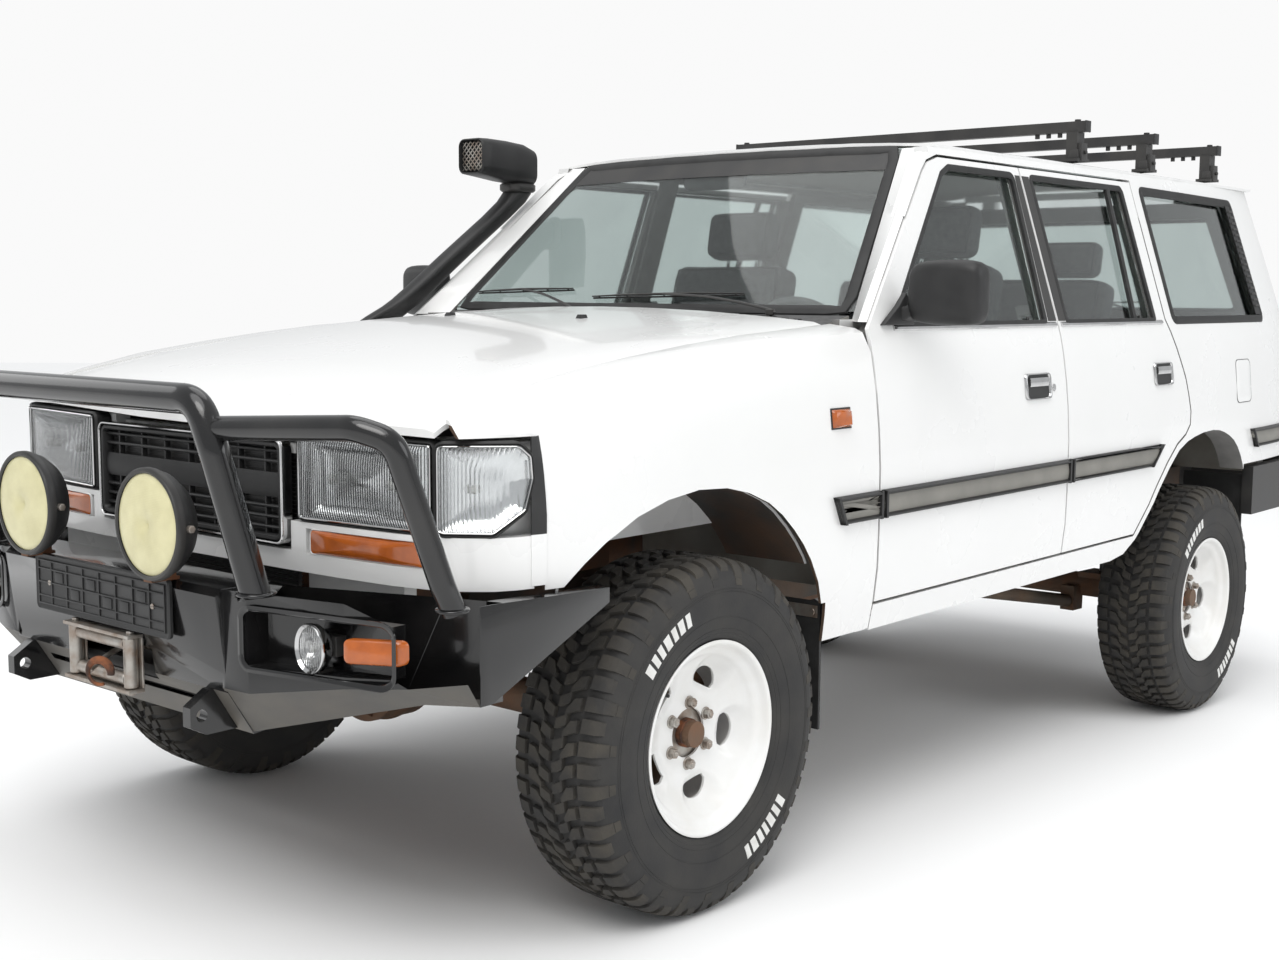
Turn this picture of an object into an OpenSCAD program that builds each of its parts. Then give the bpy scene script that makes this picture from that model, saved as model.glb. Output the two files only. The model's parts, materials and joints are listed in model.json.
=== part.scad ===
// Lifted off-road 4x4: long five-door estate body on a ladder frame, live
// axles on coil springs, bull bar with winch, snorkel and roof bars.
// Units mm. X to the vehicle's left, Y to the rear, Z up, ground at z = 0.
// Body parts are drawn in the body's own level frame, with y = 0 over the
// front axle, and are then tipped by the body's nose-down stance.

/* [Wheels and axles] */
// distance between the axles
wheelbase = 2850; // [2400:10:3300]
// distance between the wheel centre planes
track = 1594; // [1500:2:1800]
// overall diameter of a tyre
tyre_od = 804; // [700:2:900]
// section width of a tyre at the sidewall bulge
tyre_w = 267; // [220:1:300]
// flange diameter of a rim
rim_flange_d = 440; // [400:2:480]
// width of a rim over its flanges
rim_w = 228; // [190:1:250]
// diameter of a rim's barrel
rim_barrel_d = 372; // [340:2:400]
// number of scoop windows in a wheel disc
rim_windows = 5; // [3:1:8]
// number of wheel studs
stud_n = 6; // [4:1:8]
// circle of the wheel studs
stud_pcd = 139.7; // [100:0.1:170]
// distance of the steering pivot from the wheel centre plane
pivot_in = 92; // [60:1:130]
// diameter of the axle tubes
axle_tube_d = 88; // [70:1:110]
// sideways offset of the differentials, towards the vehicle's right
diff_off = 210; // [0:5:300]

/* [Stance] */
// nose-down angle of the body over the axles
rake = 1.85; // [0:0.05:3]
// reach of the rear bumper behind the front axle
rear_reach = 3932; // [3700:1:4200]

/* [Body side] */
// widest half width of the body, under the belt
half_w = 905; // [850:1:960]
// half width of the body at the belt
belt_x = 858; // [800:1:900]
// half width of the body at the drip rail
rail_x = 700; // [640:1:760]
// height of the belt line
belt_z = 1293; // [1200:1:1380]
// height of the drip rail
rail_z = 1790; // [1700:1:1900]
// height of the lower edge of the doors
door_z = 610; // [560:1:700]
// height of the lower edge of the sill
sill_z = 536; // [480:1:600]
// whole thickness of a door or wall under the belt
wall_low = 88; // [60:1:120]
// whole thickness of a window frame above the belt
wall_high = 44; // [30:1:60]
// thickness of the outer flange around each door
flange_t = 10; // [6:1:14]
// floor and inner arches stop this far inside the body sides
tub_clear = 9; // [5:1:20]
// how far the inner part of a door is set back from its flange
flange_in = 20; // [12:1:30]
// gap between a door, lid or wing and its neighbour
gap = 8; // [7:0.5:12]
// thickness of plain sheet panels
sheet = 8; // [4:0.5:14]
// thickness of the side and rear glass
glass_t = 5; // [3:0.5:8]

/* [Door places] */
// front edge of the front doors, behind the front axle
door_a = 690; // [650:1:740]
// shut line between front and rear doors
door_b = 1738; // [1650:1:1800]
// rear edge of the rear doors at the belt
door_c = 2530; // [2460:1:2580]
// height of the upper edge of the doors
door_top = 1762; // [1700:1:1800]
// height of the lower edge of the windows
win_low = 1300; // [1280:1:1340]
// height of the upper edge of the windows
win_top = 1738; // [1680:1:1760]
// rear end of the body behind the front axle
tail_y = 3800; // [3700:5:3900]

/* [Bonnet and nose] */
// rear edge of the bonnet behind the front axle
bonnet_back = 655; // [600:1:680]
// front edge of the bonnet ahead of the front axle
bonnet_front = 708; // [680:1:760]
// half width of the bonnet at its rear edge
bonnet_x = 742; // [700:1:790]
// lower edge of the windscreen: half width, place behind the axle, height
ws_low = [749, 800, 1336];
// upper edge of the windscreen: half width, place behind the axle, height
ws_top = [603, 1252, 1791];
// how far the middle of the windscreen stands ahead of its corners
ws_bow = 62; // [20:1:90]
// half width of the grille
grille_x = 350; // [300:1:400]
// height of the upper edge of the grille
grille_top = 1080; // [1000:1:1120]
// height of the lower edge of the grille
grille_low = 856; // [800:1:900]
// distance of the grille's face ahead of the front axle
nose_y = 700; // [660:1:740]

/* [Front bar and winch] */
// half width of the bumper's middle box
bar_box_x = 405; // [360:1:440]
// half width over the bumper's wings
bar_x = 918; // [880:1:960]
// height of the bumper's upper face
bar_top = 800; // [760:1:860]
// diameter of the hoop tubes
hoop_d = 60; // [48:1:76]
// height of the middle hoop's centre line
hoop_z = 1175; // [1100:1:1220]
// half width of the middle hoop at its top
hoop_x = 440; // [380:1:480]
// distance of the middle hoop's centre line ahead of the front axle
hoop_y = 965; // [930:1:1000]
// diameter of the side hoops' tubes
side_hoop_d = 48; // [38:1:60]
// diameter of a driving lamp
lamp_d = 228; // [180:1:240]
// distance of a driving lamp from the centre line
lamp_x = 240; // [200:1:280]

/* [Roof bars and snorkel] */
// places of the roof bars behind the front axle
bar_ys = [2215, 2755, 3330];
// height of the roof bars' upper faces
bar_z = 1941; // [1900:1:1990]
// half length of a roof bar
bar_half = 700; // [600:1:760]
// holes that take a shackle's pin and a towing tongue's pin
shackle_hole = 26; // [20:1:34]
tow_pin_hole = 16; // [12:1:20]
// side of a square roof bar
bar_s = 34; // [25:1:45]
// height of the roof's crown
roof_z = 1850; // [1820:1:1880]

/* [Hidden] */
tub_x = half_w - wall_low - tub_clear;
tyre_r = tyre_od / 2;
wheel_x = track / 2;
pivot_x = wheel_x - pivot_in;
nose_end = hoop_y * cos(rake) + hoop_z * sin(rake) + hoop_d / 2;
tail_end = rear_reach * cos(rake) - 569 * sin(rake);
shift_y = (tail_end - nose_end) / 2;
side_tab = [[440, half_w - 45], [sill_z, half_w - 25], [door_z, half_w - 12], [700, half_w - 2], [800, half_w],
    [950, half_w], [1050, half_w - 6], [1133, half_w - 15], [1210, half_w - 27], [1262, half_w - 38],
    [belt_z, belt_x], [rail_z, rail_x], [rail_z + 40, rail_x - 14]];
plan_tab = [[-760, -190], [-712, -122], [-690, -104], [-640, -74], [-560, -42], [-450, -20], [-300, -6], [-100, 0],
    [3000, 0], [3400, -8], [3650, -24], [3760, -40], [tail_y, -52]];
function side_x(z) = lookup(z, side_tab);
function plan_x(y) = lookup(y, plan_tab);
function wall(z) = lookup(z, [[belt_z - 62, wall_low], [belt_z - 32, wall_high]]);
// depth under the skin: 0 outer face, 1 behind the flange, 2 inner face
// any higher number is the depth itself
function dep(z, k) = k == 0 ? 0 : k == 1 ? flange_t : k == 2 ? wall(z) : k;
z_rows = [440, sill_z, 575, door_z, 655, 700, 800, 950, 1050, 1133, 1210, belt_z - 62, belt_z - 32, belt_z,
    1460, 1630, rail_z, rail_z + 40];
y_rows = [-760, -712, -690, -665, -640, -600, -560, -505, -450, -375, -300, -100, 400, door_a, 1500, 3000, 3200,
    3400, 3525, 3650, 3705, 3760, tail_y];
arch_r = [[2098, 520], [2118, 536], [2209, 548], [2282, 589], [2354, 664], [2427, 740], [2503, 808], [2581, 863],
    [2650, 888], [2707, 900], [2790, 911], [2878, 914], [2940, 909], [2983, 900], [3035, 885], [3084, 865],
    [3125, 838], [3161, 804], [3190, 768], [3212, 726], [3228, 670], [3236, 600], [3240, 520]];
arch_f = [[-470, 700], [-440, 800], [-386, 840], [-326, 878], [-233, 921], [-136, 948], [-35, 960], [64, 955],
    [145, 937], [222, 907], [275, 874], [323, 834], [362, 795], [395, 754], [430, 694], [452, 640], [468, 580],
    [476, 500], [476, 380], [-470, 380]];
clear = gap / 2;

// ---- helpers ----
module car() translate([0, -shift_y, 0]) children();
module body() car() rotate([rake, 0, 0]) children();
// one closed mesh out of its children
module one() resize([0, 0, 0]) children();
// outline in y and z, drawn out along x
module yz(x0, x1) translate([x0, 0, 0]) rotate([90, 0, 90]) linear_extrude(height = x1 - x0) children();
// outline in x and z, drawn out along y
module xz(y0, y1) translate([0, y1, 0]) rotate([90, 0, 0]) linear_extrude(height = y1 - y0) children();
module both() { children(); mirror([1, 0, 0]) children(); }
module slab(a, b) translate(a) cube(b - a);
module rod(a, b, d) {
    v = b - a;
    translate(a) rotate([0, acos(v[2] / norm(v)), atan2(v[1], v[0])]) cylinder(d = d, h = norm(v));
}
// round tube through points, with ball corners
module pipe(ps, d) {
    for (i = [0:len(ps) - 2]) rod(ps[i], ps[i + 1], d);
    for (i = [1:len(ps) - 2]) translate(ps[i]) sphere(d = d);
}
function tri(q) = [[q[0], q[1], q[2]], [q[0], q[2], q[3]]];
// solid between two grids of points, the first one outside
module grid_solid(a, b) {
    n = len(a);
    m = len(a[0]);
    o = n * m;
    pts = concat([for (r = a) for (p = r) p], [for (r = b) for (p = r) p]);
    quads = concat(
        [for (i = [0:n - 2]) for (j = [0:m - 2]) [i * m + j, i * m + j + 1, (i + 1) * m + j + 1, (i + 1) * m + j]],
        [for (i = [0:n - 2]) for (j = [0:m - 2])
            [o + i * m + j, o + (i + 1) * m + j, o + (i + 1) * m + j + 1, o + i * m + j + 1]],
        [for (i = [0:n - 2]) [i * m, (i + 1) * m, o + (i + 1) * m, o + i * m]],
        [for (i = [0:n - 2]) [(i + 2) * m - 1, (i + 1) * m - 1, o + (i + 1) * m - 1, o + (i + 2) * m - 1]],
        [for (j = [0:m - 2]) [j + 1, j, o + j, o + j + 1]],
        [for (j = [0:m - 2]) [(n - 1) * m + j, (n - 1) * m + j + 1, o + (n - 1) * m + j + 1, o + (n - 1) * m + j]]);
    polyhedron(pts, [for (q = quads) for (t = tri(q)) t], convexity = 8);
}
function between(list, lo, hi) = concat([lo], [for (v = list) if (v > lo + 1 && v < hi - 1) v], [hi]);
// part of the body's side wall, between two depths under the skin
module wall_part(y0, y1, z0, z1, k0, k1) {
    ys = between(y_rows, y0, y1);
    zs = between(z_rows, z0, z1);
    grid_solid([for (y = ys) [for (z = zs) [side_x(z) + plan_x(y) - dep(z, k0), y, z]]],
        [for (y = ys) [for (z = zs) [side_x(z) + plan_x(y) - dep(z, k1), y, z]]]);
}

// ---- door outlines ----
module front_door_line() polygon([[door_a + clear, door_z], [door_b - clear, door_z], [door_b - clear, door_top],
    [1262, door_top], [1200, door_top - 18], [1160, door_top - 48], [door_a + clear, belt_z + 2]]);
module rear_door_line() polygon([[door_b + clear, door_z], [2258, door_z], [2330, 684], [2403, 760], [2480, 830],
    [2560, 888], [2628, 917], [2661, 947], [2668, 991], [2636, 1099], [2585, 1200], [door_c, belt_z + 10],
    [door_c, door_top], [door_b + clear, door_top]]);
module front_win_line(m = 0) polygon([[815 - m * 1.6, win_low - m], [1665 + m, win_low - m], [1690 + m, win_top + m],
    [1312 - m, win_top + m], [1262 - m * 2, win_top - 22 + m]]);
module rear_win_line(m = 0) polygon([[1800 - m, win_low - m], [2452 + m, win_low - m], [2452 + m, win_top + m],
    [1800 - m, win_top + m]]);
module quarter_win_line(m = 0) polygon([[2606 - m, win_low - m], [3470 + m, win_low - m], [3440 + m, win_top - 8 + m],
    [2606 - m, win_top + m]]);
module door_solid() {
    one() difference() {
        union() {
            intersection() {
                wall_part(500, 2800, 500, 1790, 0, 1);
                yz(500, 1000) children(0);
            }
            intersection() {
                wall_part(500, 2800, 500, 1790, flange_t - 0.5, 2);
                yz(500, 1000) offset(delta = -flange_in) children(0);
            }
        }
        yz(400, 1000) children(1);
    }
}
module glass_pane(d) {
    one() intersection() {
        translate([-d, 0, 0]) wall_part(500, 3600, 1200, 1785, 0, 1);
        translate([-d - flange_t + glass_t, 0, 0]) wall_part(500, 3600, 1200, 1785, 0, 1);
        yz(400, 1000) children();
    }
}
glass_in = 14;

// ---- body ----
module front_door_left() color("white") body() door_solid() { front_door_line(); front_win_line(); }
module front_door_right() color("white") body() mirror([1, 0, 0]) door_solid() { front_door_line(); front_win_line(); }
module rear_door_left() color("white") body() door_solid() { rear_door_line(); rear_win_line(); }
module rear_door_right() color("white") body() mirror([1, 0, 0]) door_solid() { rear_door_line(); rear_win_line(); }
module front_glass_left() color("gray") body() glass_pane(glass_in) front_win_line(-0.3);
module front_glass_right() color("gray") body() mirror([1, 0, 0]) glass_pane(glass_in) front_win_line(-0.3);
module rear_glass_left() color("gray") body() glass_pane(glass_in) rear_win_line(-0.3);
module rear_glass_right() color("gray") body() mirror([1, 0, 0]) glass_pane(glass_in) rear_win_line(-0.3);

gate_low = 772;
gate_mid = 1160;
gate_top = 1752;
function gate_x(z) = side_x(z) + plan_x(tail_y) - wall_low - gap;
function tail_in(z) = lookup(z, [[belt_z - 40, 0], [gate_top + 40, -96]]);
module gate_line(z0, z1, m) {
    zs = between([800, 950, 1050, 1133, 1210, 1262, belt_z, 1460, 1630], z0, z1);
    polygon(concat([for (z = zs) [gate_x(z) + m, z]], [for (i = [len(zs) - 1:-1:0]) [-gate_x(zs[i]) - m, zs[i]]]));
}
module tail_slab(y0, y1, xs, z0, z1) {
    zs = between([belt_z - 40, 1460, 1630], z0, z1);
    grid_solid([for (x = xs) [for (z = zs) [x, tail_y + tail_in(z) - y0, z]]],
        [for (x = xs) [for (z = zs) [x, tail_y + tail_in(z) - y1, z]]]);
}
module side_wall() {
    one() difference() {
        union() {
            difference() {
                wall_part(door_a, tail_y - 4, sill_z, rail_z, 0, 2);
                yz(400, 1000) { offset(delta = gap) front_door_line(); offset(delta = gap) rear_door_line(); }
                // no wall ahead of the door's sloping edge
                yz(400, 1000) polygon([[600, door_z - 20], [door_a + 2, door_z - 20], [door_a + 2, belt_z - 6],
                    [1180, door_top - 10], [1220, door_top + 12], [1220, 1900], [600, 1900]]);
            }
            rear_corner();
            // door pillars inboard of the doors, from sill to rail
            translate([-wall_low - gap, 0, 0]) {
                wall_part(door_b - 48, door_b + 48, sill_z, 1345, 0, 1);
                wall_part(door_a - 50, door_a + 46, sill_z, 1264, 0, 1);
            }
            translate([-wall_high - gap, 0, 0]) {
                wall_part(door_b - 48, door_b + 48, 1320, rail_z - 2, 0, 1);
                wall_part(door_b - 48, door_b + 48, 1320, 1350, 0, 2);
            }
            translate([0.7 - flange_t, 0, 0]) wall_part(door_a - 50, door_a + clear - gap, sill_z, 1220, 0, 2);
            translate([-24, 0, 0]) wall_part(1240, 3600, door_top + gap, rail_z, 0, 2);
            translate([-20, 0, 0]) wall_part(door_a - 50, 2060, sill_z, door_z - gap, 0, 2);
            front_post();
            // hinges of both doors
            for (z = [770, 1110]) {
                wall_part(door_a - 10, door_a + 14, z, z + 60, flange_t + 0.3, 24);
                wall_part(door_b + clear + 1, door_b + clear + 13, z, z + 60, flange_t + 0.3, wall_low + gap + 4);
            }
        }
        yz(400, 1000) quarter_win_line();
        yz(400, 1000) polygon(arch_r);
        // the rear bumper stands under the tail
        yz(0, 1000) polygon([[3200, 400], [3200, 768], [4000, 768], [4000, 400]]);
        // sloping tail above the belt
        yz(0, 1000) polygon([[tail_y + 30, belt_z - 40], [tail_y - 4, belt_z - 40], [tail_y - 100, rail_z],
            [tail_y - 112, 1900], [tail_y + 30, 1900]]);
    }
}
function ws_x(z) = ws_low[0] + (z - ws_low[2]) * (ws_top[0] - ws_low[0]) / (ws_top[2] - ws_low[2]);
function ws_y(z) = ws_low[1] + (z - ws_low[2]) * (ws_top[1] - ws_low[1]) / (ws_top[2] - ws_low[2]);
function door_y(z) = lookup(z, [[belt_z, door_a + clear], [door_top - 48, 1160], [door_top, 1222], [1800, 1270]]);
// section of the front post at a height
module post_at(z) translate([0, 0, z]) linear_extrude(height = 1)
    polygon([[ws_x(z) + 2, ws_y(z) - 6], [side_x(z) - 26, door_y(z) - gap - 12], [side_x(z) - 7, door_y(z) - gap],
        [ws_x(z) + 2, ws_y(z) + 8]]);
module front_post() {
    hull() { post_at(belt_z + 19); post_at(1420); }
    slab([748, 696, 1225], [771, 800, belt_z + 24]);
    hull() { post_at(1420); post_at(1600); }
    hull() { post_at(1600); post_at(door_top - 40); }
    hull() { post_at(door_top - 40); post_at(rail_z - 1); }
}
module rear_corner() {
    ys = [3690, 3760, tail_y - 4];
    zs = between(z_rows, 700, rail_z);
    difference() {
        grid_solid([for (y = ys) [for (z = zs) [side_x(z) + plan_x(y) - 1, y, z]]],
            [for (y = ys) [for (z = zs) [gate_x(z) + gap, y, z]]]);
        yz(0, 1000) polygon([[3600, 600], [3720, 600], [3720, belt_z - 40], [3628, rail_z], [3600, 1900]]);
    }
}
module body_sides() color("white") body() both() side_wall();

// roof: a crowned sheet between the rails, with a header at each end
function roof_h(x, y) = let(u = x / rail_x, e = lookup(y, [[1180, 46], [1260, 30], [1500, 12], [1900, 0], [3000, 0],
    [3600, 12], [3760, 26]])) rail_z + sheet + 1 + (roof_z - rail_z - sheet - 1 - e) * (1 - u * u * u * u) * (1 - 0.25 * u * u);
function roof_front(x) = ws_top[1] - ws_bow * (1 - (x / ws_top[0]) * (x / ws_top[0])) + gap;
function roof_rows(x) = let(a = roof_front(min(abs(x), 603))) [a, a + 20, a + 70, a + 150, 1500, 1900, 3000, 3300, 3500,
    3600, 3700];
module roof_panel() color("white") body() {
    xs = [-694, -640, -560, -440, -300, -150, 0, 150, 300, 440, 560, 640, 694];
    one() {
        grid_solid([for (x = xs) [for (y = roof_rows(x)) [x, y, roof_h(x, y)]]],
            [for (x = xs) [for (y = roof_rows(x)) [x, y, roof_h(x, y) - sheet]]]);
        // side channels that stand on the rails
        both() slab([636, 1275, rail_z + 0.3], [694, 3690, rail_z + 4]);
        // rear header over the liftgate
        slab([-gate_x(rail_z) + 12, 3640, rail_z - 6], [gate_x(rail_z) - 12, 3680, rail_z + 20]);
        // hinges of the liftgate
        both() slab([400, 3655, gate_top + 0.3], [460, 3698, rail_z]);
    }
}

// windscreen, bowed forward in its middle
module fixed_glass() color("gray") body() {
    us = [-1, -0.85, -0.6, -0.3, 0, 0.3, 0.6, 0.85, 1];
    vs = [0, 0.33, 0.66, 1];
    one() grid_solid([for (u = us) [for (v = vs) screen_at(u, v, 0)]], [for (u = us) [for (v = vs) screen_at(u, v, glass_t)]]);
    both() glass_pane(glass_in) quarter_win_line(-0.3);
}
function screen_at(u, v, t) = let(w = ws_low + v * (ws_top - ws_low))
    [u * (w[0] + 1.5), w[1] - ws_bow * (1 - u * u) + t * 0.7, w[2] - t * 0.7 + (v == 1 ? 6 : 0) * (1 - u * u)];

// ---- nose ----
bon_tab = [[-712, 1104], [-700, 1122], [-680, 1143], [-640, 1166], [-541, 1203], [-300, 1250], [0, 1290], [304, 1321],
    [700, 1346]];
function bon_h(x, y) = lookup(y, bon_tab) - 34 * (x / bonnet_x) * (x / bonnet_x);
function bon_x(y) = lookup(y, [[-712, 752], [-640, 756], [-541, 752], [-300, 745], [700, bonnet_x]]);
function bon_front(u) = -bonnet_front + 46 * u * u;
function bon_rows(u) = let(a = bon_front(u)) [a, a + 8, a + 22, -640, -590, -541, -420, -300, 0, 304, bonnet_back];
module bonnet() color("white") body() {
    us = [-1, -0.97, -0.8, -0.5, -0.25, 0, 0.25, 0.5, 0.8, 0.97, 1];
    one() {
        grid_solid([for (u = us) [for (y = bon_rows(u)) let(x = u * bon_x(y)) [x, y, bon_h(x, y) - (abs(u) == 1 ? 5 : 0)]]],
            [for (u = us) [for (y = bon_rows(u)) let(x = u * bon_x(y)) [x, y, bon_h(x, y) - sheet - 8]]]);
        // frame under the skin
        translate([0, 0, -14]) both() for (k = [0, 1]) hull() for (y = [-600, 530])
            translate([k == 0 ? 620 : 120, y, bon_h(k == 0 ? 660 : 160, y) - 20]) cube([40, 40, 20]);
    }
}
wing_tab = [[-700, 1100], [-640, 1134], [-541, 1166], [-300, 1212], [0, 1252], [304, 1280], [door_a, belt_z + 2]];
function wing_h(y) = lookup(y, wing_tab);
function wing_side(z, y) = side_x(z < 950 ? z : 950 + (z - 950) * (belt_z - 950) / (wing_h(y) - 950)) + plan_x(y);
// one point on the wing's section, k counts up from the lower edge
function wing_pt(k, y, t) = let(h = wing_h(y), zs = [500, 560, 610, 700, 800, 950], x1 = wing_side(h, y),
    xi = bon_x(y) + gap, m = min(34, (x1 - xi) * 0.6))
    k < 6 ? [wing_side(zs[k], y) - t, y, zs[k]] :
    k < 9 ? let(z = 950 + (k - 5) / 3.6 * (h - 950)) [wing_side(z, y) - t, y, z] :
    k == 9 ? [x1 - m * 0.35 - t * 0.7, y, h - 8 - t * 0.7] : k == 10 ? [x1 - m - t * 0.1, y, h + 2 - t] :
    [xi, y, max(h + 4, bon_h(xi, y) - 4) - t];
module wing() {
    ys = [-640, -600, -541, -504, -450, -300, -100, 100, 304, 500, door_a + clear - gap];
    one() difference() {
        grid_solid([for (y = ys) [for (k = [0:11]) wing_pt(k, y, 0)]], [for (y = ys) [for (k = [0:11]) wing_pt(k, y, sheet)]]);
        yz(400, 1000) polygon(arch_f);
        yz(300, 1000) polygon([[-800, 400], [-440, 400], [-440, 800], [-486, 800], [-486, 1102], [-800, 1102]]);
        yz(400, 1000) polygon([[-100, 400], [-100, 640], [470, 640], [480, 541], [800, 541], [800, 400]]);
    }
    // flange that the wing is bolted to, along the engine bay
    one() {
        grid_solid([for (y = [-560, -300, 0, 304, 584]) [for (k = [0, 1])
                [bon_x(y) + gap + 8, y, max(wing_h(y) + 4, bon_h(bon_x(y) + gap, y) - 4) - 60 + 54 * k]]],
            [for (y = [-560, -300, 0, 304, 584]) [for (k = [0, 1])
                [bon_x(y) + gap, y, max(wing_h(y) + 4, bon_h(bon_x(y) + gap, y) - 4) - 60 + 54 * k]]]);
        // inner arch over the wheel
        inner_arch();
    }
}
module inner_arch() {
    slab([640, -560, tyre_r * 2 + 20], [648, 520, 1090]);
    intersection() {
        slab([640, -560, 640], [892, 620, 1200]);
        yz(640, 876) difference() {
            offset(delta = 12) polygon(arch_f);
            offset(delta = 4) polygon(arch_f);
            translate([-600, 400]) square([1200, 340]);
        }
    }
}
module front_wings() color("white") body() both() wing();

// plan line of the nose, from its middle to the tip of the corner lamp
nose_line = [[0, -nose_y - 6], [352, -nose_y], [500, -nose_y + 6], [650, -nose_y + 20], [745, -nose_y + 42],
    [800, -nose_y + 70], [842, -nose_y + 108], [864, -nose_y + 150], [874, -512]];
module nose_band(d0, d1, z0, z1) translate([0, 0, z0]) linear_extrude(height = z1 - z0)
    polygon(concat([for (p = nose_line) [p[0] - d0 * p[0] / 1000, p[1] + d0]],
        [for (i = [len(nose_line) - 1:-1:0]) let(p = nose_line[i]) [p[0] - d1 * p[0] / 1000, p[1] + d1]]));
lamp_low = 914;
lamp_top = 1092;
module front_panel() color("white") body() {
    one() {
        // lower apron with the indicators' openings
        both() intersection() {
            nose_band(13, 75, 812, 822);
            slab([-1, -800, 800], [900, -452, 830]);
        }
        both() for (z = [872, 1046]) slab([300, -nose_y + 26.3, z], [340, -632, z + 20]);
        both() difference() {
            nose_band(0, 26, 806, lamp_low - 4);
            slab([-10, -800, grille_low - 8], [grille_x + 6, -600, 1000]);
            xz(-760, -600) polygon([[402, 846], [738, 846], [738, 898], [402, 898]]);
        }
        // lamp boxes behind the lamps and the radiator's frame
        both() difference() {
            nose_band(38.3, 75, lamp_low - 29, lamp_top - 1);
            slab([-10, -800, 800], [grille_x + 6, -600, 1200]);
        }
        difference() {
            slab([-634, -636, 650.3], [634, -604, 1076]);
            slab([-330, -700, 690], [330, -500, 1040]);
        }
    }
}
module front_lamps() color("white") body() both() {
    one() intersection() {
        nose_band(0, 38, lamp_low, lamp_top);
        slab([356, -800, 800], [742, -500, 1200]);
    }
    one() intersection() {
        nose_band(0, 38, lamp_low, lamp_top);
        slab([748, -800, 800], [900, -516, 1200]);
    }
    one() intersection() {
        nose_band(-2, 20, 846.3, 897.7);
        slab([402.3, -800, 800], [737.7, -500, 1200]);
    }
}
module grille() color("dimgray") body() {
    fr = 16;
    // frame, slats and upright bars
    difference() {
        slab([-grille_x, -nose_y - 14, grille_low], [grille_x, -nose_y + 26, grille_top]);
        slab([-grille_x + fr, -nose_y - 40, grille_low + fr], [grille_x - fr, -nose_y + 40, grille_top - fr]);
    }
    for (k = [1:5]) let(z = grille_low + fr + k * (grille_top - grille_low - 2 * fr) / 6)
        slab([-grille_x + fr, -nose_y - 8, z - 5], [grille_x - fr, -nose_y + 22, z + 5]);
    for (x = [-220, -110, 0, 110, 220]) slab([x - 4, -nose_y - 2, grille_low + fr], [x + 4, -nose_y + 20, grille_top - fr]);
}

// ---- front bar ----
box_front = 922;
bar_back = 790;
module bull_bar() color("black") body() {
    one() {
        difference() {
            union() {
                yz(-bar_box_x, bar_box_x) polygon([[-box_front, bar_top - 14], [-box_front + 14, bar_top],
                    [-bar_back, bar_top], [-bar_back, 500], [-838, 495], [-897, 590]]);
                both() bar_wing();
            }
            // winch well, open to the rear and through the front slot
            slab([-300, -880, 548], [300, -700, 760]);
            slab([-150, -960, 575], [150, -850, 645]);
            both() fog_pocket();
        }
        // arms to the frame
        both() slab([rail_in, -830, 560], [rail_in + rail_w, -640.3, 650]);
        hoops();
    }
}
// plates on the bar's sloped face, with a shackle hole each
module recovery_plates() color("black") body() both() difference() {
    yz(330, 356) polygon([[-841.4, 500], [-897.3, 590], [-905, 590], [-952, 560], [-952, 520], [-915, 500]]);
    translate([300, -925, 541]) rotate([0, 90, 0]) cylinder(r = shackle_hole / 2, h = 100);
}
module bar_wing() {
    hull() {
        translate([bar_box_x - 10, -902, 600]) cube([10, 90, 198]);
        translate([bar_box_x + 60, -896, 600]) cube([10, 90, 200]);
        translate([bar_box_x - 10, -838, 500]) cube([10, 40, 100]);
        translate([800, -740, 606]) cube([10, 60, 196]);
        translate([700, -850, 640]) cube([10, 60, 162]);
        translate([820, -800, 650]) cube([10, 60, 158]);
    }
    hull() {
        translate([800, -740, 606]) cube([10, 60, 196]);
        translate([820, -800, 650]) cube([10, 60, 158]);
        translate([bar_x - 12, -700, 612]) cube([10, 60, 200]);
        translate([bar_x - 12, -730, 660]) cube([10, 60, 152]);
    }
    hull() {
        translate([bar_x - 36, -700, 612]) cube([36, 30, 190]);
        translate([bar_x - 36, -360, 760]) cube([36, 20, 30]);
        translate([bar_x - 36, -560, 700]) cube([36, 20, 94]);
    }
}
module fog_pocket() hull() {
    translate([470, -950, 655]) cube([1, 105, 110]);
    translate([800, -950, 665]) cube([1, 170, 100]);
}
module hoops() {
    hz = bar_top - 4;
    one($fn = 16) {
        // middle hoop
        pipe([[-498, -900, hz], [-462, -hoop_y + 6, 1075], [-hoop_x + 40, -hoop_y, hoop_z], [hoop_x - 40, -hoop_y, hoop_z],
            [462, -hoop_y + 6, 1075], [498, -900, hz]], hoop_d);
        // side hoops round the lamps
        both() pipe([[470, -955, 1120], [812, -905, 1138], [866, -868, 1118], [900, -780, 850], [900, -752, bar_top]],
            side_hoop_d);
        // gussets
        both() hull() {
            slab([470, -930, hz], [520, -860, hz + 8]);
            slab([480, -925, hz + 60], [492, -880, hz + 66]);
        }
    }
}
winch_y = -808;
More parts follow.
